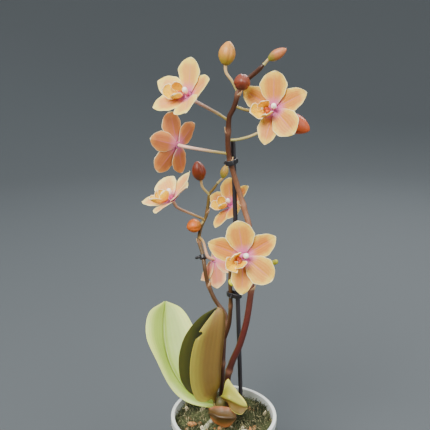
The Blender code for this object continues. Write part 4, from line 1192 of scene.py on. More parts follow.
def make_litter(pot, medium):
    """The two bark chips and the root that lie on the moss."""
    chip("bark_pale_fine", "bark_chip_pale",
         bark_finish("bark_pale", srgb(214, 206, 186), srgb(150, 138, 116)), "bark", 2)
    chip("bark_tan_fine", "bark_chip_tan",
         bark_finish("bark_tan", srgb(206, 146, 84), srgb(120, 72, 40)), "bark", 7)
    edge = pot_inner_radius(pot, MEDIUM_LEVEL)
    radius = 1.7 * MM
    places = [Vector((-7.8 * MM, -3.9 * MM, MEDIUM_LEVEL + 4 * MM))]
    for x, y in SURFACE_ROOT_ROUTE:
        x, y = x * edge, y * edge
        top = medium_height(pot, medium, math.hypot(x, y), math.atan2(y, x))
        places.append(Vector((x, y, top + radius)))
    route = even_route(places, 0.8 * MM)
    girths = domed([radius * (1 - 0.35 * i / len(route)) for i in range(len(route))])
    root = stem("surface_root_fine", route, girths, root_finish(), 24, 0.5 * MM, 420)
    finished(root, "root_green", "surface_root")


# ---------------------------------------------------------------------------
# Crown and leaves
# ---------------------------------------------------------------------------

CROWN_STEPS = [(0, 0.7), (0.15, 0.95), (0.45, 1.0), (0.68, 1.0), (0.88, 0.9), (1, 0.6)]


def crown_size():
    """The crown's foot, its height and its largest radius."""
    low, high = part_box("plant_crown")
    foot = Vector(((low.x + high.x) / 2, (low.y + high.y) / 2, low.z))
    return foot, high.z - low.z, (high.x - low.x) / 2


def crown_radius(height):
    """The crown's radius at a height."""
    foot, rise, radius = crown_size()
    return radius * np.interp((height - foot.z) / rise, *zip(*CROWN_STEPS))


def beside_crown(place, half_thickness):
    """The place moved level until something of that half thickness there clears the crown."""
    foot, _, _ = crown_size()
    axis = Vector((foot.x, foot.y, place.z))
    return axis + (place - axis).normalized() * (crown_radius(place.z) + half_thickness)


def make_crown():
    """The short stem that the leaves leave, with the torn edges of old leaf sheaths."""
    foot, height, radius = crown_size()
    rise = Vector((0, 0, height))
    route = [foot + rise * (i / 40) for i in range(41)]
    girths = domed([crown_radius(place.z) for place in route])
    finish = leaf_finish("crown", srgb(112, 116, 54), srgb(150, 142, 84), srgb(88, 70, 40), 0.5)
    stalk = stem("crown_fine", route, girths, finish, 32, 0.9 * MM, 260)
    finished(stalk, "crown_green", "plant_crown")
    sheaths = Sheet()
    for k, (turn, bottom, top) in enumerate(((200, 4, 17), (20, 6, 15.5), (285, 2, 12))):
        middle = math.radians(turn)
        share = np.linspace(0, 1, 14)[:, None]
        across = np.linspace(-1, 1, 17)[None, :]
        spread = (1.35 - 0.75 * share) * across
        tall = bottom + (top - bottom) * share * (1 - 0.28 * across**2)
        girth = (radius / MM * 0.93 + 0.35 + 0.12 * k + 0.5 * share) * MM
        grid = np.stack([foot.x + girth * np.cos(middle + spread),
                         foot.y + girth * np.sin(middle + spread),
                         foot.z + 7 * MM + tall * MM], axis=-1)
        sheaths.add(grid, np.full(grid.shape[:2], 0.35 * MM), share, across)
    finish = leaf_finish("sheath", srgb(142, 132, 70), srgb(186, 160, 104), srgb(108, 76, 46),
                         0.55)
    finished(sheaths.object("crown_sheaths", [finish]), "crown_green")


def leaf_grid(edges, swell, rows=64, columns=41):
    """Places over a leaf, with each half bulging up and its midrib sunk."""
    grid = np.zeros((rows, columns, 3))
    across = np.sin(np.linspace(-1, 1, columns) * math.pi / 2)
    for i in range(rows):
        share = i / (rows - 1)
        left, rib, right = (np.array(along(edges[key], share)) for key in ("left", "rib", "right"))
        for k, t in enumerate(across):
            grid[i, k] = rib + ((left if t < 0 else right) - rib) * abs(t)
    lengthways = np.gradient(grid, axis=0)
    crossways = np.gradient(grid, axis=1)
    normal = np.cross(lengthways, crossways)
    normal /= np.maximum(np.linalg.norm(normal, axis=2, keepdims=True), 1e-12)
    share = np.linspace(0, 1, rows)
    lift = swell * (np.sin(np.abs(across) ** 0.8 * math.pi))[None, :]
    lift = lift * np.sin(share * math.pi)[:, None] ** 0.5
    return grid, normal, lift, share, across


def make_leaf(name, leaf, finishes, slot, upside=1, wave=0.0, seed=1, notch=None):
    """A leaf seated beside the crown, which may have a notch in one margin."""
    edges = {key: [beside_crown(places[0], leaf.thickness / 2), *places[1:]]
             for key, places in LEAVES[name].items()}
    grid, normal, lift, share, across = leaf_grid(edges, leaf.swell)
    ripple = wave * np.sin(share * 17 + seed)[:, None] * across[None, :] ** 2 * np.sign(across)
    dent = 0.5 * MM * np.exp(-(across / 0.07) ** 2)[None, :]
    grid = grid + normal * ((lift + ripple - dent) * upside)[..., None]
    if notch:
        place, side, depth = notch
        bite = np.exp(-((share - place) / 0.012) ** 2)[:, None]
        bite = bite * (np.sign(across) == side)[None, :] * np.abs(across[None, :]) ** 6
        inward = grid[:, [len(across) // 2]] - grid
        grid = grid + inward * (bite * depth)[..., None]
    rim = 1 - np.abs(across[None, :]) ** 6
    end = 1 - share[:, None] ** 16
    thick = leaf.thickness * (0.3 + 0.7 * rim * end)
    thick = thick * (1 - 0.25 * np.abs(across[None, :]))
    body = Sheet()
    body.add(grid, thick, share[:, None], across[None, :])
    piece = body.object(f"{name}_fine", finishes)
    finished(piece, slot, name)


def make_leaves(leaf):
    """The four leaves, each with a finish for its inner and its outer side."""
    green = leaf_finish("leaf_green", tuple(leaf.green), tuple(leaf.pale), srgb(116, 134, 52))
    under = leaf_finish("leaf_green_under", srgb(150, 158, 92), srgb(180, 186, 120),
                        srgb(130, 130, 70), 0.5)
    make_leaf("leaf_large", leaf, [under, green], "leaf_green", -1, 0.5 * MM, 2)
    inner = leaf_finish("leaf_olive_inner", tuple(leaf.olive_painted_shade), srgb(70, 72, 14),
                        srgb(30, 32, 6), 0.4)
    outer = leaf_finish("leaf_olive_outer", tuple(leaf.brown), srgb(168, 156, 58),
                        srgb(100, 72, 30), 0.45)
    make_leaf("leaf_upright", leaf, [inner, outer], "leaf_olive", 1, 0.4 * MM, 3, (0.8, -1, 0.3))
    umber = srgb(104, 78, 20)
    upper = leaf_finish("leaf_lime", srgb(158, 156, 48), srgb(206, 202, 90), srgb(116, 116, 32),
                        0.45, umber)
    lower = leaf_finish("leaf_umber", umber, srgb(190, 160, 84), srgb(112, 86, 40))
    make_leaf("leaf_small_right", leaf, [lower, upper], "leaf_olive", 1, 0.35 * MM, 4)
    upper = leaf_finish("leaf_tan", srgb(84, 60, 20), srgb(140, 84, 38), srgb(60, 40, 16))
    make_leaf("leaf_small_front", leaf, [lower, upper], "leaf_olive", 1, 0.3 * MM, 5)


# ---------------------------------------------------------------------------
# Spikes, stake and clips
# ---------------------------------------------------------------------------

def spike_girths(route, foot, tip, nodes, swell):
    """Radii along a spike that swells at its nodes, and how near each point is to one."""
    share = np.linspace(0, 1, len(route))
    run = len(route)
    knot = np.zeros(len(route))
    for place in nodes:
        knot = np.maximum(knot, np.exp(-((share - place) * run / 2.0) ** 2))
    girths = (foot + (tip - foot) * share) * (1 + swell * knot)
    return girths, knot


def bracts(name, route, girths, nodes, finish, slot, turn):
    """A small triangular bract clasping the spike at each node."""
    sheets = Sheet()
    for number, place in enumerate(nodes):
        i = min(int(place * (len(route) - 1)), len(route) - 2)
        ahead = (route[i + 1] - route[i]).normalized()
        angle = turn + math.pi * number
        out = Vector((math.cos(angle), math.sin(angle), 0))
        out = (out - ahead * out.dot(ahead)).normalized()
        side = ahead.cross(out)
        share = np.linspace(0, 1, 12)[:, None]
        across = np.linspace(-1, 1, 11)[None, :]
        spread = 1.5 * across * (1 - share) ** 0.8
        girth = girths[i] * (1.06 + 0.25 * share**2)
        grid = (np.array(route[i])[None, None, :]
                + (np.array(out)[None, None, :] * (girth * np.cos(spread))[..., None])
                + (np.array(side)[None, None, :] * (girth * np.sin(spread))[..., None])
                + np.array(ahead)[None, None, :]
                * (share * (1 - 0.2 * across**2) * 3.4 * MM)[..., None])
        sheets.add(grid, np.full(grid.shape[:2], 0.28 * MM), share, across)
    finished(sheets.object(name, [finish]), slot)


def make_spikes(stems):
    """The two flower spikes, the branch, and the bracts at their nodes."""
    level = MEDIUM_LEVEL
    front = spike_finish("spike_brown", [
        (level + 20 * MM, srgb(52, 26, 16)), (level + 75 * MM, srgb(86, 34, 26)),
        (level + 118 * MM, srgb(118, 70, 50)), (level + 150 * MM, srgb(140, 96, 66)),
        (level + 182 * MM, srgb(88, 50, 28)), (level + 225 * MM, srgb(64, 34, 18))],
        srgb(40, 18, 12))
    rear = spike_finish("spike_olive", [
        (level + 20 * MM, srgb(54, 28, 18)), (level + 60 * MM, srgb(78, 46, 28)),
        (level + 90 * MM, srgb(82, 56, 28)), (level + 155 * MM, srgb(120, 98, 40))],
        srgb(40, 22, 14))
    husk = stalk_finish("bract", srgb(168, 132, 96), srgb(214, 178, 130))
    lines = {}
    for key, places, foot, tip, finish, node, slot, turn in (
            ("front", FRONT_SPIKE_ROUTE, stems.front_foot, stems.front_tip, front,
             "flower_spike_front", "spike_brown", -0.4),
            ("rear", REAR_SPIKE_ROUTE, stems.rear_foot, stems.rear_tip, rear,
             "flower_spike_rear", "spike_olive", 2.6),
            ("branch", REAR_BRANCH_ROUTE, stems.branch_foot, stems.rear_tip, rear,
             "flower_spike_rear", "spike_olive", -0.6)):
        route = even_route(places, 1.0 * MM)
        girths, knot = spike_girths(route, foot, tip, SPIKE_NODES[key], stems.node_swell)
        lines[key] = (route, girths)
        piece = stem(f"{key}_spike_fine", route, domed(girths), finish, stems.sides,
                     0.22 * MM, 700, {"knot": knot})
        finished(piece, slot, *(() if key == "branch" else (node,)))
        bracts(f"{key}_bracts", route, girths, SPIKE_NODES[key][1:], husk, slot, turn)
    return lines


def stake_ends():
    """The stake's foot in the medium and its top."""
    low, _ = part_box("stake")
    lean = STAKE_TOP - STAKE_AT_MEDIUM
    return STAKE_AT_MEDIUM + lean * ((low.z - STAKE_AT_MEDIUM.z) / lean.z), STAKE_TOP


def make_stake(stems):
    """The stake, with its foot slightly blunted."""
    foot, top = stake_ends()
    finish = moulded_finish("stake_dark", srgb(44, 40, 44), 0.42)
    route = [foot.lerp(top, i / 160) for i in range(161)]
    girths = [stems.stake] * 161
    for i in range(3):
        girths[i] *= (0.75, 0.9, 0.98)[i]
    piece = stem("stake_fine", route, domed(girths, 3), finish, 28, 0.05 * MM, 200)
    finished(piece, "stake_dark", "stake")


def nearest(line, height):
    """Place, direction and radius of a stem at a height."""
    route, girths = line
    i = min(range(1, len(route) - 1), key=lambda k: abs(route[k].z - height))
    return route[i], (route[i + 1] - route[i - 1]).normalized(), girths[i]


BAND_SECTION = 20  # points round a band's section
BAND_HALF_TURN = 28  # sections along half of a band


def clip_band(name, centres, radii, axis, finish, slot, node, wall, height, clearance):
    """A flat springy band round one stem or two, with rounded edges."""
    axis = axis.normalized()
    if len(centres) == 1:
        centres, radii = centres * 2, radii * 2
        across = axis.orthogonal().normalized()
    else:
        across = centres[1] - centres[0]
        across = (across - axis * across.dot(axis)).normalized()
    side = axis.cross(across)
    section = []
    for k in range(BAND_SECTION):
        angle = math.tau * k / BAND_SECTION
        x = math.copysign(abs(math.cos(angle)) ** 0.5, math.cos(angle))
        z = math.copysign(abs(math.sin(angle)) ** 0.5, math.sin(angle))
        section.append((0.5 + 0.5 * x, 0.5 * z))
    points = []
    half = BAND_HALF_TURN
    for end, (centre, radius) in enumerate(zip(centres, radii)):
        start = math.pi / 2 if end == 0 else -math.pi / 2
        for k in range(half):
            angle = start + math.pi * (k + 0.5) / half
            out = across * math.cos(angle) + side * math.sin(angle)
            for x, z in section:
                points.append(centre + out * (radius + clearance + wall * x) + axis * height * z)
    stations = 2 * half
    made = mesh_object(name, points, bands(0, stations, BAND_SECTION, stations), [finish])
    outward(made)
    finished(made, slot, node)


def clip_arm(name, places, radii, finish, slot):
    """A moulded arm, prong or tab of a clip."""
    route = even_route(places, 0.5 * MM)
    shares = np.linspace(0, 1, len(radii))
    girths = [np.interp(i / (len(route) - 1), shares, radii) for i in range(len(route))]
    girths[0] *= 0.8
    finished(stem(name, route, domed(girths, 3), finish, 20, 0.04 * MM, 400), slot)


def make_clips(stems, lines):
    """The upper, lower, rear and green clips."""
    black = moulded_finish("clip_black", srgb(38, 36, 38), 0.38)
    bright = moulded_finish("clip_yellow_green", srgb(214, 214, 44), 0.4)
    # A darker, duller copy of the clip's yellow-green: painted shade on the clip's arm.
    yellow_green_painted_shade = moulded_finish("clip_olive", srgb(178, 176, 34), 0.45)
    foot, top = stake_ends()
    stake = [foot.lerp(top, i / 300) for i in range(301)]
    stake = (stake, [stems.stake] * 301)
    size = (0.9 * MM, 3.0 * MM, 0.45 * MM)
    for name, key, height in (("clip_upper", "front", 176), ("clip_lower", "branch", 89)):
        height = MEDIUM_LEVEL + height * MM
        at, way, radius = nearest(lines[key], height)
        post, post_way, post_radius = nearest(stake, height)
        axis = way + post_way
        clip_band(f"{name}_fine", [at, post], [radius, post_radius], axis, black, "clip_black",
                  name, *size)
        grip = (post - at).normalized()
        side = axis.normalized().cross(grip)
        if side.x > 0:
            side = -side
        start = at.lerp(post, 0.4) + side * (radius + 0.9 * MM)
        tip = start + side * 2.4 * MM + mm(0, -0.5, -0.8)
        clip_arm(f"{name}_prong", [start, start.lerp(tip, 0.5), tip],
                 [0.9 * MM, 0.7 * MM, 0.6 * MM], black, "clip_black")
    at, way, radius = nearest(lines["rear"], MEDIUM_LEVEL + 107 * MM)
    clip_band("clip_rear_fine", [at], [radius], way, black, "clip_black", "clip_rear", *size)
    side = at - Vector((radius + 0.9 * MM, 0, 0))
    clip_arm("clip_rear_tab", [side, side + mm(-1.6, 0.4, -0.6), side + mm(-3.2, 1, -1.5)],
             [1 * MM, 0.9 * MM, 1.2 * MM], black, "clip_black")
    at, way, radius = nearest(lines["front"], MEDIUM_LEVEL + 109 * MM)
    clip_band("clip_green_fine", [at], [radius], way, bright, "clip_yellow_green", "clip_green",
              *size)
    back = at + Vector((0, radius + 1.35 * MM, 0))
    clip_arm("clip_green_pad", [back + mm(-12.5, 2.3, -9), back + mm(-8, 1.8, -5.5),
                                back + mm(-1, 0.7, -1)],
             [2.4 * MM, 2.0 * MM, 1.3 * MM], bright, "clip_yellow_green")
    # The arm takes the painted-shade copy of the clip's yellow-green.
    clip_arm("clip_green_arm", [back + mm(-1, 0.7, -1), back + mm(8, 1.2, 2.5),
                                back + mm(16.5, 1, 6.5)],
             [1.3 * MM, 1.2 * MM, 1.6 * MM], yellow_green_painted_shade, "clip_yellow_green")


# ---------------------------------------------------------------------------
# Flowers
# ---------------------------------------------------------------------------

def flower_axes(flower):
    """Right, up (towards the dorsal sepal) and face directions of a flower."""
    face = Vector(flower["face"]).normalized()
    dorsal = Vector(flower["dorsal"])
    up = (dorsal - face * dorsal.dot(face)).normalized()
    return up.cross(face), up, face


def add_lobe(sheet, origin, axes, size, rng, angle, reach, width, cup, warmth=0.2, peak=0.6,
             blunt=0.62, hub=HUB_RADIUS, neck=HUB_NECK, channel=0.12, ruffle=0.45 * MM,
             recurve=0.0, thickness=0.55 * MM, dent=0.35 * MM):
    """Adds one curved lobe that leaves the hub at an angle and widens to its peak."""
    right, up, face = (np.array(axis) for axis in axes)
    turn = math.radians(angle)
    out = right * math.cos(turn) + up * math.sin(turn)
    side = np.cross(face, out)
    rows, columns = 30, 21
    share = 1 - (1 - np.linspace(0, 1, rows)) ** 1.6
    across = np.sin(np.linspace(-1, 1, columns) * math.pi / 2)
    first, last = math.radians(cup[0]), math.radians(cup[1])
    tilt = first + (last - first) * share
    bend = last - first
    run = (np.sin(tilt) - math.sin(first)) / bend
    lift = (math.cos(first) - np.cos(tilt)) / bend
    middle = (np.array(origin) + out * hub * size
              + (out * run[:, None] + face * lift[:, None]) * reach * size)
    normal = face * np.cos(tilt)[:, None] - out * np.sin(tilt)[:, None]
    power = math.log(0.5) / math.log(peak)
    belly = np.sin(math.pi * np.clip(share, 0, 1) ** power) ** blunt
    half = neck * size * (1 - share) + (width / 2 - neck * 0.4) * size * belly
    half = np.maximum(half, 0.12 * MM)
    wave = rng.uniform(0, math.tau)
    lean = rng.uniform(-0.5, 0.5) * MM
    t, s = across[None, :], share[:, None]
    rise = channel * half[:, None] * t**2
    rise = rise - dent * np.exp(-(t / 0.1) ** 2) * np.sin(math.pi * s) ** 0.7
    rise = rise + ruffle * size * np.abs(t) ** 3 * np.sin(9 * s + wave + 1.5 * t) * s
    rise = rise + recurve * size * s**3 + lean * t * s**2
    skew = rng.uniform(-0.6, 0.6) * MM * size * s**2
    edge = half[:, None] * (1 + 0.03 * np.sin(7 * s * math.pi + wave) * np.abs(t))
    grid = (middle[:, None, :] + side * (t * edge + skew)[..., None]
            + normal[:, None, :] * rise[..., None])
    thick = thickness * (1 - 0.6 * np.abs(t) ** 3) * (1 - 0.5 * s**4)
    sheet.add(grid, thick, s, t, warmth)


def hub_ball(sheet, origin, axes, radius, height):
    """A low closed dome where the lobes meet."""
    right, up, face = (np.array(axis) for axis in axes)
    turn = np.linspace(0, math.tau, 25)[:, None]
    share = np.linspace(0.02, 1, 7)[None, :]
    grid = (np.array(origin)
            + (right * np.cos(turn)[..., None] + up * np.sin(turn)[..., None])
            * (radius * share)[..., None]
            + face * (height * (1 - share**2))[..., None])
    sheet.add(grid, np.full(grid.shape[:2], 0.4 * MM), 0.02 * share, 0.4 + 0 * share, 0.3, 0)


def make_flower(name, flower, sizes, finishes, rng):
    """One flower: sepals, petals, lip and column."""
    axes = flower_axes(flower)
    face = axes[2]
    size, at, cup = flower["size"], flower["at"], flower["cup"]
    shaded = flower.get("shaded", False)
    warmth = flower["warmth"]
    front, back = finishes[flower["palette"]]
    layer = 0.68 * MM if shaded else TEPAL_LAYER
    petal_at = at + face * layer
    sepals = Sheet()
    petals = sepals if shaded else Sheet()
    thickness, ruffle = sizes.thickness, sizes.ruffle
    for angle, warm in zip((90, *flower["laterals"]), (warmth[0], *warmth[3:])):
        add_lobe(sepals, at, axes, size, rng, angle, sizes.sepal_length, sizes.sepal_width, cup,
                 warm, 0.53, 0.7, ruffle=0.6 * ruffle, thickness=thickness)
    hub_ball(sepals, at, axes, 2.3 * MM * size, 0.3 * MM)
    for angle, warm in zip(PETAL_ANGLES, warmth[1:3]):
        add_lobe(petals, petal_at, axes, size, rng, angle, sizes.petal_length, sizes.petal_width,
                 (cup[0] + 1, cup[1] + 3), warm, ruffle=ruffle, thickness=thickness)
    hub_ball(petals, petal_at, axes, 2.2 * MM * size, 0.5 * MM)
    if shaded:
        piece = sepals.object(f"{name}_fine", [front, back])
        finished(piece, "petal_peach", f"{name}_perianth")
    else:
        piece = sepals.object(f"{name}_sepals_fine", [front, back])
        finished(piece, "sepal_peach", f"{name}_sepals")
        piece = petals.object(f"{name}_petals_fine", [front, back])
        finished(piece, "petal_peach", f"{name}_petals")
    make_lip(name, flower, sizes, finishes["lip"], rng, petal_at, axes)
    make_column(name, flower, sizes, finishes["column"], petal_at, axes)


def make_lip(name, flower, sizes, finish, rng, petal_at, axes):
    """The lip: a scooped middle lobe, two side lobes curling in, a callus and two whiskers."""
    _, up, face = axes
    size = flower["size"]
    origin = petal_at + face * 2.2 * MM - up * 3.3 * MM * size
    lip = Sheet()
    for angle in (0, 180):
        add_lobe(lip, origin, axes, size, rng, angle, sizes.side_length, sizes.side_width,
                 (38, 104), 0.6, 0.62, 0.6, 1.3 * MM, 0.9 * MM, 0.3, 0.3 * MM, 0, 0.5 * MM,
                 0.1 * MM)
    add_lobe(lip, origin, axes, size, rng, 270, sizes.lip_length, sizes.lip_width, (30, 72), 0.2,
             0.66, 0.55, 1.3 * MM, 1.0 * MM, 0.55, 0.35 * MM, 0, 0.6 * MM, 0.6 * MM)
    for angle in (262, 278):
        add_lobe(lip, origin, axes, size, rng, angle, 0.9 * sizes.lip_length, 0.7 * MM, (62, 128),
                 0.9, 0.5, 0.5, 1.2 * MM, 0.35 * MM, 0.1, 0, 0, 0.45 * MM, 0)
    for turn in (-1, 1):
        lump = origin + face * 1.2 * MM + axes[0] * (turn * 0.8 * MM * size)
        hub_ball(lip, lump, axes, 1.0 * MM * size, 1.3 * MM)
    hub_ball(lip, origin, axes, 1.8 * MM * size, 0.8 * MM)
    slot_node = f"{name}_lip_and_column" if flower.get("shaded") else f"{name}_lip"
    finished(lip.object(f"{name}_lip_fine", [finish]), "lip_yellow", slot_node)


def make_column(name, flower, sizes, finish, petal_at, axes):
    """The column that arches over the lip, with a rounded cap."""
    _, up, face = axes
    size = flower["size"]
    foot = petal_at + face * 0.9 * MM + up * 0.3 * MM
    bend = [(0, 0, 0.75), (0.25, 0.3, 0.8), (0.6, 0.8, 1.0), (0.85, 1.0, 1.0), (1, 0.85, 0.8)]
    reach, rise = sizes.column_length * size, 1.7 * MM * size
    places = [foot + face * reach * out + up * rise * high for out, high, _ in bend]
    route = even_route(places, 0.3 * MM)
    shares = [out for out, _, _ in bend]
    wide = [girth for _, _, girth in bend]
    girths = [sizes.column_radius * size * np.interp(i / (len(route) - 1), shares, wide)
              for i in range(len(route))]
    piece = stem(f"{name}_column_fine", route, domed(girths, 6), finish, 24, 0.12 * MM, 500)
    finished(piece, "column_white", *(() if flower.get("shaded") else (f"{name}_column",)))


def make_flower_stalk(name, flower, radius, finish):
    """The stalk from the spike to the back of the flower, thicker towards the flower."""
    face = flower_axes(flower)[2]
    end = flower["at"] - face * 0.5 * MM
    route = even_route([*flower["stalk"], end - face * 6 * MM, end], 0.8 * MM)
    share = np.linspace(0, 1, len(route))
    girths = list(radius * (1 + 0.4 * share**2))
    girths[0] *= 1.5
    girths[1] *= 1.25
    piece = stem(f"{name}_stalk_fine", route, girths, finish, 18, 0.18 * MM, 600)
    finished(piece, "stalk_green", f"{name}_stalk")


def bud_grid(foot, tip, radius, turn):
    """Places over a bud with three shallow seams, and how deep in a seam each one is."""
    axis = (tip - foot).normalized()
    across = axis.orthogonal().normalized()
    side = axis.cross(across)
    shares = (0, 0.03, 0.08, 0.25, 0.45, 0.68, 0.86, 0.95, 1)
    wide = (0.2, 0.36, 0.56, 0.87, 1.0, 0.87, 0.55, 0.3, 0.02)
    rows, columns = 44, 61
    share = (1 - np.cos(np.linspace(0, math.pi, rows))) / 2
    spline = [Vector((a, b, 0)) for a, b in zip(shares, wide)]
    girth = np.interp(share, *zip(*[tuple(along(spline, i / 300)[:2]) for i in range(301)]))
    angle = np.linspace(0, math.tau, columns)
    seam = np.clip(np.cos(3 * angle + turn), 0, 1)[None, :] ** 12
    seam = seam * np.sin(math.pi * share)[:, None] ** 0.4
    body = radius * girth[:, None] * (1 - 0.09 * seam + 0.03 * np.cos(3 * angle + turn)[None, :])
    around = (np.array(across) * np.cos(angle)[:, None] + np.array(side) * np.sin(angle)[:, None])
    middle = np.array(foot) + np.array(tip - foot) * share[:, None]
    return middle[:, None, :] + around[None, :, :] * body[..., None], share, seam


def make_bud(name, bud, stalk_radius, finish, stalk_finish_, turn):
    """A bud with its three seams, and its stalk."""
    foot = bud["stalk"][-1]
    grid, share, seam = bud_grid(foot, bud["tip"], bud["radius"], turn)
    rows, columns = grid.shape[:2]
    points = []
    for i in range(rows):
        points += grid[i, :-1].tolist()
    ring = columns - 1
    faces = bands(0, rows - 1, ring)
    faces.append(list(range(ring)))
    faces.append(list(range((rows - 1) * ring, rows * ring)))
    numbers = {"along": np.repeat(share, ring), "across": seam[:, :-1].ravel()}
    body = mesh_object(f"{name}_fine", points, faces, [finish], numbers)
    outward(body)
    finished(body, "bud_skin", name)
    route = even_route([*bud["stalk"], foot.lerp(bud["tip"], 0.1)], 0.7 * MM)
    count = len(route)
    girths = [stalk_radius * (1 + 0.35 * (i / count) ** 4) for i in range(count)]
    girths[0] *= 1.4
    stalk = stem(f"{name}_stalk", route, girths, stalk_finish_, 18, 0.16 * MM, 600)
    finished(stalk, "bud_skin")


def flower_finishes(sizes):
    """The finishes of every palette, of the lip and of the column."""
    flush = tuple(sizes.flush)
    finishes = {
        key: (petal_finish(f"petal_{key}", key, flush),
              petal_finish(f"petal_{key}_reverse", key, flush, reverse=True))
        for key in PALETTES
    }
    finishes["lip"] = lip_finish(sizes)
    finishes["column"] = column_finish(sizes)
    return finishes


# ---------------------------------------------------------------------------
# Stage
# ---------------------------------------------------------------------------

FLOOR_SIDES = 96
BACKDROP_STEPS = 24
WORLD_STRENGTH = 1.85
KEY_WATTS, FILL_WATTS, BACK_WATTS = 32, 9, 10
LIT_MIDDLE = (0, 0, 0.2)
CAMERA_PLACE = (-0.0058, -0.347, POT_HIGH.z + 0.2354)
CAMERA_TILT = math.radians(74.2)
CAMERA_LENS = 50


def area_light(name, place, target, size, power, tone):
    """A round lamp that looks at a target."""
    data = bpy.data.lights.new(name, "AREA")
    data.shape = "DISK"
    data.size = size
    data.energy = power
    data.color = tone
    lamp = linked(name, data)
    lamp.location = place
    lamp.rotation_euler = (Vector(target) - Vector(place)).to_track_quat("-Z", "Y").to_euler()


def make_stage(stage):
    """A floor that curves up all round, the lamps and the camera."""
    half = stage.floor_size / 2
    profile = [(0, 0), (0.5 * half, 0)]
    profile += [(0.5 * half + 0.5 * half * math.sin(a), 0.5 * half * (1 - math.cos(a)))
                for a in (math.pi / 2 * i / BACKDROP_STEPS for i in range(1, BACKDROP_STEPS + 1))]
    points = [(0, 0, 0)]
    points += [(radius * math.cos(a), radius * math.sin(a), height)
               for radius, height in profile[1:]
               for a in (math.tau * k / FLOOR_SIDES for k in range(FLOOR_SIDES))]
    faces = [[0, 1 + k, 1 + (k + 1) % FLOOR_SIDES] for k in range(FLOOR_SIDES)]
    for i in range(len(profile) - 2):
        low, high = 1 + i * FLOOR_SIDES, 1 + (i + 1) * FLOOR_SIDES
        faces += [[low + k, high + k, high + (k + 1) % FLOOR_SIDES, low + (k + 1) % FLOOR_SIDES]
                  for k in range(FLOOR_SIDES)]
    floor = mesh_object("floor", points, faces, [floor_finish(tuple(stage.floor))])
    world = bpy.data.worlds.new("studio")
    world.use_nodes = True
    shade = world.node_tree.nodes["Background"]
    shade.inputs["Color"].default_value = (*stage.backdrop, 1)
    shade.inputs["Strength"].default_value = WORLD_STRENGTH * stage.light
    bpy.context.scene.world = world
    for name, place, size, watts, tone in (
            ("key", (-0.55, -0.75, 1.1), 0.8, KEY_WATTS, (1, 0.98, 0.95)),
            ("fill", (0.8, -0.6, 0.6), 1.0, FILL_WATTS, (0.96, 0.98, 1)),
            ("back", (0.4, 0.8, 0.9), 0.8, BACK_WATTS, (1, 1, 1))):
        area_light(name, place, LIT_MIDDLE, size, watts * stage.light, tone)
    data = bpy.data.cameras.new("camera")
    data.lens = CAMERA_LENS
    data.sensor_width = 36
    data.clip_start = 0.01
    camera = linked("camera", data)
    camera.location = CAMERA_PLACE
    camera.rotation_euler = (CAMERA_TILT, 0, 0)
    bpy.context.scene.camera = camera


# ---------------------------------------------------------------------------
# Operators, panel and registration
# ---------------------------------------------------------------------------

class ORCHID_OT_pot(bpy.types.Operator):
    """Make the pot"""

    bl_idname = "orchid.make_pot"
    bl_label = "Pot"

    def execute(self, context):
        make_pot(context.scene.orchid_pot)
        return {"FINISHED"}


class ORCHID_OT_medium(bpy.types.Operator):
    """Make the moss, the bark chips and the root on it"""

    bl_idname = "orchid.make_medium"
    bl_label = "Moss and bark"

    def execute(self, context):
        scene = context.scene
        make_medium(scene.orchid_pot, scene.orchid_medium)
        make_litter(scene.orchid_pot, scene.orchid_medium)
        return {"FINISHED"}


class ORCHID_OT_leaves(bpy.types.Operator):
    """Make the crown and the leaves"""

    bl_idname = "orchid.make_leaves"
    bl_label = "Leaves"

    def execute(self, context):
        make_crown()
        make_leaves(context.scene.orchid_leaf)
        return {"FINISHED"}


class ORCHID_OT_stems(bpy.types.Operator):
    """Make the flower spikes, the stake and the clips"""

    bl_idname = "orchid.make_stems"
    bl_label = "Spikes, stake and clips"

    def execute(self, context):
        stems = context.scene.orchid_stem
        lines = make_spikes(stems)
        make_stake(stems)
        make_clips(stems, lines)
        return {"FINISHED"}


class ORCHID_OT_flowers(bpy.types.Operator):
    """Make the flowers and their stalks"""

    bl_idname = "orchid.make_flowers"
    bl_label = "Flowers"

    def execute(self, context):
        sizes = context.scene.orchid_flower
        finishes = flower_finishes(sizes)
        front = stalk_finish("stalk_front", srgb(158, 140, 66), srgb(222, 178, 152))
        rear = stalk_finish("stalk_rear", srgb(156, 126, 66), srgb(206, 160, 124))
        for number, (name, flower) in enumerate(FLOWERS.items()):
            make_flower(name, flower, sizes, finishes, random.Random(11 + number))
            finish = front if flower["spike"] == "front" else rear
            make_flower_stalk(name, flower, context.scene.orchid_stem.stalk, finish)
        return {"FINISHED"}


class ORCHID_OT_buds(bpy.types.Operator):
    """Make the buds and their stalks"""

    bl_idname = "orchid.make_buds"
    bl_label = "Buds"

    def execute(self, context):
        stalk = stalk_finish("stalk_bud", srgb(168, 158, 92), srgb(196, 166, 112))
        for number, (name, bud) in enumerate(BUDS.items()):
            foot, tip = (srgb(*levels) for levels in BUD_COLOURS[name])
            make_bud(name, bud, context.scene.orchid_stem.stalk, bud_finish(name, foot, tip),
                     stalk, 1.1 * number)
        return {"FINISHED"}


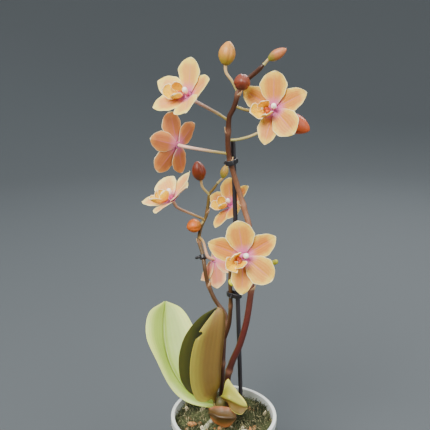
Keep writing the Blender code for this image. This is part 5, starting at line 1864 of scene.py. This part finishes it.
class ORCHID_OT_stage(bpy.types.Operator):
    """Make the floor, the lamps and the camera"""

    bl_idname = "orchid.make_stage"
    bl_label = "Stage"

    def execute(self, context):
        make_stage(context.scene.orchid_stage)
        return {"FINISHED"}


OPERATORS = (ORCHID_OT_pot, ORCHID_OT_medium, ORCHID_OT_leaves, ORCHID_OT_stems,
             ORCHID_OT_flowers, ORCHID_OT_buds, ORCHID_OT_stage)
SETTINGS = {
    "orchid_pot": OrchidPotSettings,
    "orchid_medium": OrchidMediumSettings,
    "orchid_leaf": OrchidLeafSettings,
    "orchid_stem": OrchidStemSettings,
    "orchid_flower": OrchidFlowerSettings,
    "orchid_stage": OrchidStageSettings,
}


class ORCHID_PT_panel(bpy.types.Panel):
    """Sizes, colours and the step that makes each group of pieces"""

    bl_idname = "ORCHID_PT_panel"
    bl_label = "Potted Orchid"
    bl_space_type = "VIEW_3D"
    bl_region_type = "UI"
    bl_category = "Orchid"

    def draw(self, context):
        for key, group in SETTINGS.items():
            settings = getattr(context.scene, key)
            box = self.layout.box()
            box.label(text=key.removeprefix("orchid_").capitalize())
            for name in group.__annotations__:
                box.prop(settings, name)
        for operator in OPERATORS:
            self.layout.operator(operator.bl_idname)


def register():
    for group in SETTINGS.values():
        bpy.utils.register_class(group)
    for key, group in SETTINGS.items():
        setattr(bpy.types.Scene, key, PointerProperty(type=group))
    for operator in OPERATORS:
        bpy.utils.register_class(operator)
    bpy.utils.register_class(ORCHID_PT_panel)


def unregister():
    bpy.utils.unregister_class(ORCHID_PT_panel)
    for operator in reversed(OPERATORS):
        bpy.utils.unregister_class(operator)
    for key in SETTINGS:
        delattr(bpy.types.Scene, key)
    for group in SETTINGS.values():
        bpy.utils.unregister_class(group)


def main():
    register()
    bpy.ops.orchid.make_pot()
    bpy.ops.orchid.make_medium()
    bpy.ops.orchid.make_leaves()
    bpy.ops.orchid.make_stems()
    bpy.ops.orchid.make_flowers()
    bpy.ops.orchid.make_buds()
    bpy.ops.orchid.make_stage()


if __name__ == "__main__":
    main()
